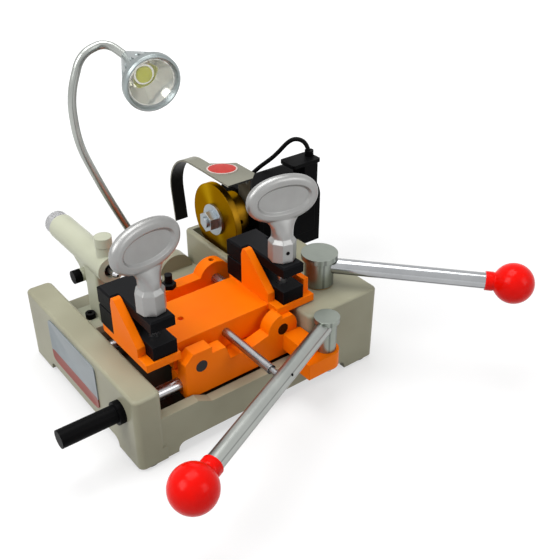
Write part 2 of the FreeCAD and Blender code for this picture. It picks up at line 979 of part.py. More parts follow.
def set_screw(x, y, bottom):
    """Headless screw with a hexagon socket."""
    top = bottom + set_screw_length
    body = rod("z", (x, y), set_screw_radius, (bottom, top))
    return body.cut(polygon_bar("z", (x, y), set_screw_radius, 6, (top - set_screw_radius, top)))


save(
    "set_screws",
    *[
        set_screw(
            x,
            (rear_bar_front + rear_bar_back) / 2,
            rod_z + math.sqrt(rod_radius**2 - set_screw_radius**2) + set_screw_radius,
        )
        for x in (rod_left_x, rod_right_x)
    ],
)
save(
    "stop_screw",
    join(
        rod("z", (stop_x, stop_y), stop_radius, (rear_bar_top - stop_depth, stop_top)),
        polygon_bar(
            "z", (stop_x, stop_y), stop_nut_flats, 6, (rear_bar_top, rear_bar_top + stop_nut_height),
        ),
    ),
)
save(
    "feed_pivot",
    join(
        rod("z", (feed_x, feed_y), feed_pin_radius, (boss_bottom, feed_pin_top)),
        polygon_bar(
            "z", (feed_x, feed_y), feed_head_flats, 6, (boss_bottom - feed_head_height, boss_bottom),
        ),
    ),
)


# Carriage casting
def fin(left):
    corners = [
        (carriage_front, slab_bottom),
        (carriage_front, fin_front_top),
        (fin_apex_y - fin_apex_flat, fin_apex_z),
        (fin_apex_y, fin_apex_z),
        (fin_rear, fin_shoulder_z),
        (fin_rear, slab_bottom),
    ]
    shape = prism("x", corners, (left, left + fin_thick))
    return shape.makeFillet(
        fin_apex_flat / 3, straight_edges(shape, "x", lambda p: p.z > fin_apex_z - same_place),
    )


def carriage():
    stub_front = carriage_front - stub_wall_thick
    shape = join(
        block(
            (carriage_left, carriage_right),
            (carriage_front, carriage_back),
            (carriage_bottom, carriage_top),
        ),
        block((left_slab_left, carriage_left), (slab_front, slab_back), (slab_bottom, slab_top)),
        block((carriage_right, right_slab_right), (slab_front, slab_back), (slab_bottom, slab_top)),
        rod("y", (rod_right_x, rod_z), rod_bush_radius + rod_boss_wall, (carriage_front, carriage_back)),
        block(
            (
                carriage_right, rod_right_x + rod_bush_radius,
            ), (carriage_front, carriage_back), (rod_z, slab_bottom)
        ),
        fin(left_slab_left),
        fin(carriage_right),
        block(
            (right_slab_right - stub_wall_thick, right_slab_right),
            (stub_front, stub_front + stub_wall_length),
            (slab_bottom, stub_wall_top),
        ),
    )
    cuts = [
        rod("y", (x, rod_z), rod_bush_radius, (carriage_front, carriage_back))
        for x in (rod_left_x, rod_right_x)
    ]
    cuts += [
        rod("z", (x, vise_y), stud_radius, (slab_bottom, slab_top)) for x in (left_vise_x, right_vise_x)
    ]
    cuts.append(
        rod("y", (push_x, feed_rod_z), push_radius, (carriage_front, carriage_front + push_seat))
    )
    cuts.append(
        rod(
            "z",
            (block_screw_x, block_screw_y),
            block_screw_hole,
            (carriage_top - 2 * block_screw_hole, carriage_top),
        )
    )
    return shape.cut(Part.makeCompound(cuts))


save("carriage", carriage())
save(
    "rod_bushes",
    *[
        tube("y", (x, rod_z), rod_bush_radius, rod_radius + running_fit, (carriage_front, carriage_back))
        for x in (rod_left_x, rod_right_x)
    ],
)
push_ball_y = feed_y - (feed_x - push_x) * math.tan(math.radians(feed_angle - 180))
save(
    "push_rod",
    join(
        rod(
            "y",
            (push_x, feed_rod_z),
            push_radius,
            (push_ball_y + push_neck_length, carriage_front + push_seat),
        ),
        rod("y", (push_x, feed_rod_z), push_neck_radius, (push_ball_y, push_ball_y + push_neck_length)),
        Part.makeSphere(push_ball_radius, V(push_x, push_ball_y, feed_rod_z)),
    ),
)


# Vises
def lower_jaw(x):
    shape = join(
        block(
            (x - jaw_half_width, x + jaw_half_width),
            (jaw_front, jaw_head_front),
            (slab_top, lower_front_top),
        ),
        block(
            (x - jaw_head_left, x + jaw_head_right),
            (jaw_head_front, jaw_head_back),
            (slab_top, anvil_top),
        ),
    )
    return shape.cut(rod("z", (x, vise_y), stud_radius, (slab_top, lower_front_top)))


def upper_jaw(x):
    plate = block(
        (x - jaw_half_width, x + jaw_half_width),
        (jaw_front, jaw_head_front),
        (jaw_top - jaw_plate, jaw_top),
    )
    head = block(
        (x - jaw_head_left, x + jaw_head_right), (jaw_head_front, jaw_head_back), (lip_bottom, jaw_top),
    )
    shape = join(plate, head)
    rim = [
        edge for edge in shape.Edges if all(abs(v.Point.z - jaw_top) < same_place for v in edge.Vertexes)
    ]
    shape = shape.makeChamfer(jaw_edge, rim)
    return shape.cut(rod("z", (x, vise_y), stud_radius + free_gap, (jaw_top - jaw_plate, jaw_top)))


def oval(x, margin, y):
    """Oval face of four tangent arcs, set in by a margin, at a distance from the knob's middle plane."""
    reach = paddle_width / 2 - paddle_end_radius
    rise = paddle_height / 2
    side_radius = (reach**2 + rise**2 - paddle_end_radius**2) / 2 / (rise - paddle_end_radius)
    drop = side_radius - rise
    lean = math.atan2(drop, reach)
    small = paddle_end_radius - margin
    large = side_radius - margin

    def at(dx, dz):
        return V(x + dx, vise_y + y, paddle_z + dz)

    def touch(sx, sz):
        return at(sx * (reach + small * math.cos(lean)), sz * small * math.sin(lean))

    edges = []
    for side in (1, -1):
        edges.append(
            Part.Arc(touch(side, -1), at(side * (reach + small), 0.0), touch(side, 1)).toShape()
        )
        edges.append(
            Part.Arc(touch(side, side), at(0.0, side * (large - drop)), touch(-side, side)).toShape()
        )
    return Part.Face(Part.Wire(Part.__sortEdges__(edges)))


def wing_knob(x, angle):
    stem_bottom = jaw_top + knob_gap
    stem_top = stem_bottom + stem_length
    across = (x, vise_y)
    facets = polygon_bar("z", across, stem_flats, stem_sides, (stem_bottom, stem_top))
    corner = stem_flats / 2 / math.cos(math.pi / stem_sides)
    shoulder = join(
        rod("z", across, corner, (stem_bottom, stem_top - stem_chamfer)),
        cone("z", across, (corner, neck_radius), (stem_top - stem_chamfer, stem_top)),
    )
    stem = facets.common(shoulder)
    neck = cone("z", across, (neck_radius, neck_top_radius), (stem_top, stem_top + neck_length))
    half = paddle_thick / 2
    paddle = oval(x, 0.0, half).extrude(V(0, -paddle_thick, 0))
    rims = [edge for edge in paddle.Edges if abs(abs(edge.CenterOfMass.y - vise_y) - half) < same_place]
    paddle = paddle.makeFillet(paddle_edge, rims)
    recesses = [
        oval(x, panel_margin, half).extrude(V(0, -panel_depth, 0)),
        oval(x, panel_margin, -half).extrude(V(0, panel_depth, 0)),
    ]
    shape = join(stem, neck, paddle).cut(Part.makeCompound(recesses))
    bore_top = stud_top + jaw_drop + free_gap
    shape = shape.cut(rod("z", across, stud_radius + free_gap, (stem_bottom, bore_top)))
    shape.rotate(V(x, vise_y, 0), V(0, 0, 1), angle)
    return shape


for side, x, angle in (
    ("left", left_vise_x, left_paddle_angle), ("right", right_vise_x, right_paddle_angle),
):
    save(side + "_lower_jaw", lower_jaw(x))
    save(side + "_upper_jaw", upper_jaw(x))
    save(side + "_knob", wing_knob(x, angle))
save(
    "jaw_studs",
    *[rod("z", (x, vise_y), stud_radius, (slab_bottom, stud_top)) for x in (left_vise_x, right_vise_x)],
)


# Levers with their red balls
def lever_rod(x, y, angle, length, z):
    start = lever_point(x, y, angle, rod_entry, z)
    return Part.makeCylinder(
        lever_rod_radius, length - ball_radius + ball_socket - rod_entry, start, lever_axis(angle),
    )


def lever_ball(x, y, angle, length, z):
    centre = lever_point(x, y, angle, length, z)
    neck_start = lever_point(x, y, angle, length - ball_neck_length, z)
    neck = Part.makeCone(
        ball_neck_radius, ball_flare_radius, ball_flare_length, neck_start, lever_axis(angle),
    )
    shape = join(Part.makeSphere(ball_radius, centre, lever_axis(angle)), neck)
    return shape.cut(lever_rod(x, y, angle, length, z))


feed = (feed_x, feed_y, feed_angle, feed_length, feed_rod_z)
hub_bottom = boss_top + free_gap
feed_hub = join(
    rod("z", (feed_x, feed_y), feed_hub_radius, (hub_bottom, feed_top)),
    rod("z", (feed_x, feed_y), feed_cap_radius, (feed_top - feed_cap_thick, feed_top)),
)
feed_hub = feed_hub.cut(
    rod("z", (feed_x, feed_y), feed_pin_radius + running_fit, (hub_bottom, feed_pin_top + free_gap))
)
save("feed_hub", feed_hub.cut(lever_rod(*feed)))
slot = block(
    (feed_slot_near, feed_slot_far),
    (-lever_rod_radius - free_gap, lever_rod_radius - feed_slot_skin),
    (-feed_slot_height / 2, feed_slot_height / 2),
)
slot.Placement = FreeCAD.Placement(
    V(feed_x, feed_y, feed_rod_z), FreeCAD.Rotation(V(0, 0, 1), feed_angle),
)
save("feed_rod", lever_rod(*feed).cut(slot))
save("feed_ball", lever_ball(*feed))

traverse = (traverse_x, traverse_y, traverse_angle, traverse_length, traverse_rod_z)
traverse_place = (traverse_x, traverse_y)
flange_top = block_top + traverse_flange_thick
post_bottom = flange_top + running_fit
traverse_bush = join(
    rod("z", traverse_place, traverse_bush_radius, (block_top - block_roof, block_top)),
    rod("z", traverse_place, traverse_flange_radius, (block_top, flange_top)),
)
save(
    "lever_bush",
    traverse_bush.cut(
        rod("z", traverse_place, traverse_stem_radius + running_fit, (block_top - block_roof, flange_top))
    ),
)
traverse_post = join(
    rod("z", traverse_place, traverse_stem_radius, (traverse_stem_bottom, post_bottom)),
    rod("z", traverse_place, traverse_radius, (post_bottom, traverse_top)),
    rod("z", traverse_place, traverse_cap_radius, (traverse_top - traverse_cap_thick, traverse_top)),
)
save("traverse_post", traverse_post.cut(lever_rod(*traverse)))
save("traverse_rod", lever_rod(*traverse))
save("traverse_ball", lever_ball(*traverse))
crank_z = (crank_bottom, crank_bottom + crank_thick)
arm = block(
    (traverse_x, traverse_x + crank_length),
    (traverse_y - crank_arm_radius, traverse_y + crank_arm_radius),
    crank_z,
)
arm.rotate(V(traverse_x, traverse_y, 0), V(0, 0, 1), crank_angle)
crank = join(
    rod("z", traverse_place, crank_hub_radius, crank_z),
    arm,
    rod("z", (crank_pin_x, crank_pin_y), crank_arm_radius, crank_z),
    rod("z", (crank_pin_x, crank_pin_y), crank_pin_radius, (yoke_z[0], crank_bottom)),
)
save("traverse_crank", crank.cut(rod("z", traverse_place, traverse_stem_radius, crank_z)))


# Cutter spindle
spindle_place = (cutter_y, cutter_z)
shell = (motor_left + bell_thick, motor_right - bell_thick)
core_middle = (shell[0] + shell[1]) / 2
core = (core_middle - stator_length / 2, core_middle + stator_length / 2)
save(
    "rotor",
    join(
        rod("x", spindle_place, spindle_radius, (spindle_left, motor_right - bell_thick / 2)),
        rod("x", spindle_place, stator_bore - air_gap, core),
    ),
)
hub = rod("x", spindle_place, hub_radius, (cutter_right, hub_right))
hub_middle = (cutter_right + hub_right) / 2
hub = hub.cut(
    rod("y", (hub_middle, cutter_z), tommy_hole, (cutter_y - hub_radius, cutter_y - spindle_radius))
)
save("cutter_flange", hub.cut(rod("x", spindle_place, spindle_radius, (cutter_right, hub_right))))
save("cutter", tube("x", spindle_place, cutter_radius, spindle_radius, (cutter_left, cutter_right)))
washer_left = cutter_left - washer_thick
save("clamp_washer", tube("x", spindle_place, washer_radius, spindle_radius, (washer_left, cutter_left)))
nut = polygon_bar("x", spindle_place, nut_flats, 6, (washer_left - nut_length, washer_left))
save(
    "cutter_nut",
    nut.cut(rod("x", spindle_place, spindle_radius, (washer_left - nut_length, washer_left))),
)


# Motor
def motor_form(x, inset=0.0):
    """Length of the motor's outline: a flat-topped box with round shoulders, or the same box inset."""
    shape = block(
        x,
        (motor_front + inset, motor_back - inset),
        (cutter_z - motor_below + inset, cutter_z + motor_above - inset),
    )
    return shape.makeFillet(motor_shoulder - inset, straight_edges(shape, "x", lambda p: p.z > cutter_z))


save("motor_shell", motor_form(shell).cut(motor_form(shell, motor_skin)))
save("stator", motor_form(core, motor_skin).cut(rod("x", spindle_place, stator_bore, core)))


def bell(outer_end, inner_end, bearing):
    """End bell with a bearing boss inside, open in the middle for the spindle."""
    disc = motor_form(tuple(sorted((outer_end, inner_end))))
    boss = rod("x", spindle_place, bell_boss_radius, tuple(sorted((inner_end, bearing))))
    shape = join(disc, boss)
    return shape.cut(rod("x", spindle_place, bearing_radius, tuple(sorted((bearing, outer_end)))))


left_bearing = shell[0] + bell_boss_length
right_bearing = shell[1] - bell_boss_length
save("motor_left_bell", bell(motor_left, shell[0], left_bearing))
right_cap = motor_form((motor_right - bell_thick / 2 + free_gap, motor_right))
save("motor_right_bell", join(bell(motor_right, shell[1], right_bearing), right_cap))
save(
    "motor_bearings",
    tube(
        "x",
        spindle_place,
        bearing_radius,
        spindle_radius + running_fit,
        (left_bearing - bearing_length, left_bearing),
    ),
    tube(
        "x",
        spindle_place,
        bearing_radius,
        spindle_radius + running_fit,
        (right_bearing, right_bearing + bearing_length),
    ),
)
foot = block(
    (motor_foot_left, motor_right),
    (motor_front, motor_back),
    (pocket_floor, cutter_z - motor_below),
)
for place in motor_screws:
    foot = foot.cut(rod("z", place, shank_radius, (pocket_floor, motor_foot_flange)))
    foot = foot.cut(rod("z", place, cap_radius + free_gap, (motor_foot_flange, cutter_z - motor_below)))
save("motor_foot", foot)


def cap_screw(x, y, seat, grip):
    """Socket head cap screw standing on its seat."""
    shape = join(
        rod("z", (x, y), cap_radius, (seat, seat + cap_height)),
        rod("z", (x, y), shank_radius, (seat - grip, seat)),
    )
    return shape.cut(polygon_bar("z", (x, y), hex_socket, 6, (seat + cap_height / 2, seat + cap_height)))


screws = [
    cap_screw(x, y, deck_top + tracer_flange_thick, tracer_flange_thick + shank_grip)
    for x, y in tracer_screws
]
screws += [cap_screw(x, y, motor_foot_flange, casting_wall + block_roof) for x, y in motor_screws]
save("socket_screws", *screws)


# Terminal box, glands and motor lead
lead_top = (lead_route[0][0], lead_route[0][1])
lead_foot = (lead_route[-1][0], lead_route[-1][1])
lid = block(
    (terminal_left, terminal_right),
    (terminal_front, terminal_back),
    (terminal_top - terminal_lid, terminal_top),
)
lid = lid.makeFillet(edge_radius, straight_edges(lid, "z", lambda p: True))
neck = block(
    (motor_right, terminal_right - terminal_lip),
    (terminal_back - terminal_lip - terminal_depth, terminal_back - terminal_lip),
    (terminal_bottom, terminal_top - terminal_lid),
)
seat = block(
    (terminal_right - terminal_lip - terminal_width, terminal_right - terminal_lip),
    (terminal_back - terminal_lip - terminal_depth, terminal_back - terminal_lip),
    (cutter_z + motor_above, terminal_top - terminal_lid),
)
save("terminal_box", join(lid, neck, seat))
lead, lead_length, lead_bend = swept(lead_route, lead_radius)
print("motor lead: length %.1f, tightest bend %.1f" % (lead_length, lead_bend))
print("  volume %.0f, section times length %.0f" % (lead.Volume, math.pi * lead_radius**2 * lead_length))
save("motor_lead", lead)
top_gland = rod("z", lead_top, gland_radius, (terminal_top, terminal_top + gland_height))
foot_gland = rod("z", lead_foot, gland_radius, (pocket_floor - block_roof, pocket_floor + gland_height))
save("lead_glands", top_gland.cut(lead), foot_gland.cut(lead))


# Guard over the cutter
def guard():
    x = (guard_left, guard_left + guard_strip)
    z = (guard_top - guard_thick, guard_top)
    nose = [
        (guard_left, guard_front),
        (guard_right - guard_nose, guard_front),
        (guard_right, guard_front + guard_nose),
        (guard_right, guard_step - guard_strip),
        (guard_left + guard_strip, guard_step),
        (guard_left + guard_strip, guard_bend),
        (guard_left, guard_bend),
    ]
    plate = prism("z", nose, z)
    centre = V(x[0], guard_bend, guard_top - guard_bend_radius)
    lean = math.radians(guard_lean)

    def on_bend(radius, turn):
        return centre + V(0, radius * math.cos(turn), radius * math.sin(turn))

    def tail_end(radius):
        start = on_bend(radius, -lean)
        return start + V(0, -math.sin(lean), -math.cos(lean)) * ((start.z - guard_end) / math.cos(lean))

    outer = guard_bend_radius
    inner = guard_bend_radius - guard_thick
    middle = math.pi / 4 - lean / 2
    edges = [
        Part.Arc(on_bend(outer, math.pi / 2), on_bend(outer, middle), on_bend(outer, -lean)).toShape(),
        Part.makeLine(on_bend(outer, -lean), tail_end(outer)),
        Part.makeLine(tail_end(outer), tail_end(inner)),
        Part.makeLine(tail_end(inner), on_bend(inner, -lean)),
        Part.Arc(on_bend(inner, -lean), on_bend(inner, middle), on_bend(inner, math.pi / 2)).toShape(),
        Part.makeLine(on_bend(inner, math.pi / 2), on_bend(outer, math.pi / 2)),
    ]
    tail = Part.Face(Part.Wire(edges)).extrude(V(guard_strip, 0, 0))
    tab = block(
        (motor_left - guard_thick, motor_left),
        (guard_front + guard_nose, guard_front + guard_nose + tab_width),
        (tab_bottom, guard_top),
    )
    tab_middle = guard_front + guard_nose + tab_width / 3
    tab_x = (motor_left - guard_thick, motor_left)
    tab = tab.cut(rod("x", (tab_middle, guard_top - tab_width / 2), tab_hole, tab_x))
    return join(plate, tail, tab)


save("guard", guard())


# Tracer bracket, pin, thimble and screws
tracer_place = (tracer_x, tracer_z)
post_x = (tracer_x - tracer_post_width / 2, tracer_x + tracer_post_width / 2)
web_x = (tracer_x - tracer_web_width / 2, tracer_x + tracer_web_width / 2)


def tracer_bracket():
    web = [
        (tracer_post_back - edge_radius, tracer_web_low),
        (tracer_web_foot, tracer_z - tracer_radius - casting_wall),
        (tracer_web_back, tracer_z - tracer_radius / 2),
        (tracer_post_back - edge_radius, tracer_z),
    ]
    flange_x = (tracer_x - tracer_flange_width / 2, tracer_x + tracer_flange_width / 2)
    flange_y = (tracer_flange_y - tracer_flange_depth / 2, tracer_flange_y + tracer_flange_depth / 2)
    flange = block(
        flange_x, (max(flange_y[0], deck_front), flange_y[1]), (deck_top, deck_top + tracer_flange_thick)
    )
    post = block(post_x, (tracer_post_front, tracer_post_back), (deck_top, tracer_z))
    post = post.makeFillet(edge_radius, straight_edges(post, "z", lambda p: True))
    side_boss = rod(
        "x", (side_knob_y, side_knob_z), side_knob_radius, (tracer_x - tracer_web_width, tracer_x),
    )
    shape = join(
        rod("y", tracer_place, tracer_radius, (tracer_front, tracer_back)),
        post,
        flange,
        prism("x", web, web_x),
        side_boss,
        rod("z", (tracer_x, lock_y), lock_boss_radius, (tracer_z, lock_boss_top)),
    )
    cuts = [
        rod("y", tracer_place, tracer_bore, (tracer_front, tracer_back)),
        rod("z", (tracer_x, lock_y), lock_stem_radius + running_fit, (tracer_z, lock_boss_top)),
        rod(
            "x",
            (side_knob_y, side_knob_z),
            side_stem_radius + running_fit,
            (tracer_x - tracer_web_width, tracer_x),
        ),
    ]
    cuts += [
        rod("z", place, shank_radius, (deck_top, deck_top + tracer_flange_thick))
        for place in tracer_screws
    ]
    return shape.cut(Part.makeCompound(cuts))


save("tracer_bracket", tracer_bracket())
pin = join(
    rod("y", tracer_place, tracer_bore - running_fit, (tracer_front + pin_seat, pin_back)),
    rod(
        "y", tracer_place, tracer_nose_radius, (tracer_tip + tracer_nose_radius, tracer_front + pin_seat)
    ),
    cone(
        "y",
        tracer_place,
        (tracer_nose_radius / 3, tracer_nose_radius),
        (tracer_tip, tracer_tip + tracer_nose_radius),
    ),
)
save(
    "tracer_pin",
    pin.cut(rod("y", tracer_place, thimble_stem_radius + running_fit, (pin_back - pin_hole, pin_back))),
)
thimble_front = tracer_back + free_gap
save(
    "tracer_thimble",
    join(
        rod("y", tracer_place, thimble_radius, (thimble_front, thimble_front + thimble_length)),
        rod("y", tracer_place, thimble_stem_radius, (tracer_back - thimble_stem, thimble_front)),
    ),
)
lock_cap_bottom = lock_boss_top + free_gap
save(
    "tracer_lock",
    join(
        rod(
            "z",
            (tracer_x, lock_y),
            lock_cap_radius,
            (lock_cap_bottom, lock_cap_bottom + lock_cap_height),
        ),
        rod(
            "z",
            (tracer_x, lock_y),
            lock_stem_radius,
            (tracer_z + tracer_bore + free_gap, lock_cap_bottom),
        ),
    ),
)
side_left = tracer_x - tracer_web_width - free_gap
save(
    "side_knob",
    join(
        rod(
            "x", (side_knob_y, side_knob_z), side_knob_radius, (side_left - side_knob_length, side_left),
        ),
        rod(
            "x",
            (side_knob_y, side_knob_z),
            side_stem_radius,
            (side_left, tracer_x - tracer_web_width / 2),
        ),
    ),
)


# Lamp
gooseneck, neck_length_run, neck_bend = swept(
    neck_route, neck_tube_radius, neck_tube_radius - neck_tube_wall,
)
print("gooseneck: length %.1f, tightest bend %.1f" % (neck_length_run, neck_bend))
save("gooseneck", gooseneck)
socket = join(
    rod("z", (lamp_x, lamp_y), lamp_socket_radius, (deck_top, deck_top + lamp_socket_flange)),
    rod("z", (lamp_x, lamp_y), lamp_collar_radius, (deck_top, deck_top + lamp_socket_height)),
)
save("lamp_socket", socket.cut(swept(neck_route, neck_tube_radius)[0]))
rim_start = head_length - head_rim
head_outline = [
    (0.0, 0.0),
    (0.0, head_neck_radius),
    (head_length / 6, head_neck_radius + head_skin),
    (rim_start, head_radius - head_skin),
    (rim_start, head_radius),
    (head_length, head_radius),
    (head_length, head_radius - head_skin),
    (head_length - light_depth, light_radius + head_skin),
    (head_length - light_depth, 0.0),
]
head = turned(head_outline, head_start, head_axis)
save("lamp_head", head.cut(swept(neck_route, neck_tube_radius)[0]))
mirror_front = head_length - lens_inset - lens_thick
slope = (head_radius - light_radius - 2 * head_skin) / light_depth


def bowl(along):
    """Radius of the head's bowl at a depth along its axis."""
    return head_radius - head_skin - slope * (head_length - along)


mirror_back = head_length - light_depth
mirror_outline = [
    (mirror_back, 0.0),
    (mirror_back, bowl(mirror_back)),
    (mirror_front, bowl(mirror_front)),
    (mirror_front, bowl(mirror_front) - reflector_skin),
    (mirror_back + reflector_skin, bowl(mirror_back) - reflector_skin),
    (mirror_back + reflector_skin, 0.0),
]
save("reflector", turned(mirror_outline, head_start, head_axis))
lens_outline = [
    (mirror_front, 0.0),
    (mirror_front, bowl(mirror_front)),
    (mirror_front + lens_thick, bowl(mirror_front + lens_thick)),
    (mirror_front + lens_thick, 0.0),
]
save("lamp_lens", turned(lens_outline, head_start, head_axis))


# Switch and mains inlet
switch_y_span = (switch_y - switch_length / 2, switch_y + switch_length / 2)
switch_z_span = (switch_z - switch_height / 2, switch_z + switch_height / 2)
switch_back = right_out - switch_depth
housing = join(
    block((switch_back, right_out), switch_y_span, switch_z_span),
    block(
        (right_out, right_out + switch_flange),
        (switch_y_span[0] - switch_rim, switch_y_span[1] + switch_rim),
        (switch_z_span[0] - switch_rim, switch_z_span[1] + switch_rim),
    ),
)
well = block(
    (switch_back + switch_rim, right_out + switch_flange),
    (switch_y_span[0] + switch_rim, switch_y_span[1] - switch_rim),
    (switch_z_span[0] + switch_rim, switch_z_span[1] - switch_rim),
)
housing = housing.cut(well)
pivot_place = (right_out - switch_flange, switch_z)
rocker_pin_span = (switch_y_span[0] + rocker_pin_end, switch_y_span[1] - rocker_pin_end)
housing = housing.cut(rod("y", pivot_place, rocker_pivot_radius + running_fit, rocker_pin_span))
save("switch_housing", housing)
rocker_half = switch_height / 2 - switch_rim - free_gap
rocker_reach = rocker_half - rocker_taper
rocker_y = (switch_y_span[0] + switch_rim + free_gap, switch_y_span[1] - switch_rim - free_gap)
lift = rocker_half * math.tan(math.radians(rocker_tilt))
rocker_face = [
    (pivot_place[0] - lift, switch_z - rocker_reach),
    (right_out + switch_flange + lift, switch_z - rocker_reach),
    (right_out + switch_flange, switch_z),
    (right_out + switch_flange + lift, switch_z + rocker_reach),
    (pivot_place[0] - lift, switch_z + rocker_reach),
    (pivot_place[0] - 2 * lift, switch_z),
]
rocker = prism("y", rocker_face, rocker_y)
save(
    "power_rocker",
    join(
        rocker,
        rod(
            "y",
            pivot_place,
            rocker_pivot_radius,
            (switch_y_span[0] + 1 + free_gap, switch_y_span[1] - 1 - free_gap),
        ),
    ),
)
inlet_x_span = (inlet_x - inlet_width / 2, inlet_x + inlet_width / 2)
inlet_z_span = (inlet_z - inlet_height / 2, inlet_z + inlet_height / 2)
inlet = join(
    block(inlet_x_span, (back_out - inlet_depth, back_out), inlet_z_span),
    block(
        (inlet_x_span[0] - inlet_rim, inlet_x_span[1] + inlet_rim),
        (back_out, back_out + inlet_flange),
        (inlet_z_span[0] - inlet_rim, inlet_z_span[1] + inlet_rim),
    ),
)
inlet_well = block(
    (inlet_x_span[0] + inlet_rim / 2, inlet_x_span[1] - inlet_rim / 2),
    (back_out + inlet_flange - inlet_cavity, back_out + inlet_flange),
    (inlet_z_span[0] + inlet_rim / 2, inlet_z_span[1] - inlet_rim / 2),
)
blades = [
    block(
        (inlet_x + shift - inlet_pin, inlet_x + shift + inlet_pin),
        (back_out + inlet_flange - inlet_cavity, back_out),
        (inlet_z + rise - inlet_pin, inlet_z + rise + inlet_pin),
    )
    for shift, rise in ((-inlet_width / 4, -inlet_pin), (0.0, inlet_pin), (inlet_width / 4, -inlet_pin))
]
save("mains_inlet", join(inlet.cut(inlet_well), *blades))
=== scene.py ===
import math

import bmesh
import bpy
import numpy as np
from mathutils import Matrix, Vector


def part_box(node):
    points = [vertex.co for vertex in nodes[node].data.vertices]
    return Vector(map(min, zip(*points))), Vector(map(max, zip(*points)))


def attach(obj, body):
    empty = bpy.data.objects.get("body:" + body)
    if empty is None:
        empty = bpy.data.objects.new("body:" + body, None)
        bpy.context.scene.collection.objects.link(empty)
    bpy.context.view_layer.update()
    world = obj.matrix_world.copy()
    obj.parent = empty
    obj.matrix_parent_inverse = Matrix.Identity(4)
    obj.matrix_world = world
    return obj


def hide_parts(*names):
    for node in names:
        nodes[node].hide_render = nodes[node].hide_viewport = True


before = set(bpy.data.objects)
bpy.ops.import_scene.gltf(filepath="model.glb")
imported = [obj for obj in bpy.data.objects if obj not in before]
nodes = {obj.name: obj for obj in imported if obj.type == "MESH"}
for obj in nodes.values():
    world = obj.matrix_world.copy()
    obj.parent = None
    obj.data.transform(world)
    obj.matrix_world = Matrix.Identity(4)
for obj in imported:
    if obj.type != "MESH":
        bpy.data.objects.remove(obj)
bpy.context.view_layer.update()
scene = bpy.context.scene
scene.view_settings.view_transform = "Standard"


# Camera: the machine is seen from the front left and above, as on a catalogue page.
# The frame is square, 560 pixels each way.
CAMERA_PLACE = (-0.3537, -0.5796, 0.5217)
CAMERA_AZIMUTH = -38.2
CAMERA_DOWN = 32.4
CAMERA_ROLL = 0.37
FOCAL_PIXELS = 792.0
FRAME_PIXELS = 560.0
SENSOR = 36.0
NEAREST = 0.01
camera_data = bpy.data.cameras.new("camera")
camera_data.sensor_width = SENSOR
camera_data.lens = SENSOR * FOCAL_PIXELS / FRAME_PIXELS
camera_data.clip_start = NEAREST
camera = bpy.data.objects.new("camera", camera_data)
camera.matrix_world = (
    Matrix.Translation(CAMERA_PLACE)
    @ Matrix.Rotation(math.radians(CAMERA_AZIMUTH), 4, "Z")
    @ Matrix.Rotation(math.radians(90.0 - CAMERA_DOWN), 4, "X")
    @ Matrix.Rotation(math.radians(CAMERA_ROLL), 4, "Z")
)
scene.collection.objects.link(camera)
scene.camera = camera


# Studio: a plain white table that runs to the horizon, a white surround and soft boxes.
# The surround shows white to the eye and in polished metal, and lights the object less.
class Wire:
    """A shader value whose arithmetic adds Math nodes to its own tree."""

    def __init__(self, finish, socket):
        self.finish = finish
        self.socket = socket

    def math(self, operation, *others):
        return self.finish.add("ShaderNodeMath", {"operation": operation}, [self, *others])

    def __add__(self, other):
        return self.math("ADD", other)

    def __sub__(self, other):
        return self.math("SUBTRACT", other)

    def __mul__(self, other):
        return self.math("MULTIPLY", other)

    def __rsub__(self, other):
        return self.finish.add("ShaderNodeMath", {"operation": "SUBTRACT"}, [other, self])

    __radd__ = __add__
    __rmul__ = __mul__

    def ramp(self, low, high):
        """The value carried from low..high to 0..1, held at the ends."""
        sockets = {"Value": self, "From Min": low, "From Max": high}
        return self.finish.add("ShaderNodeMapRange", {"clamp": True}, sockets)


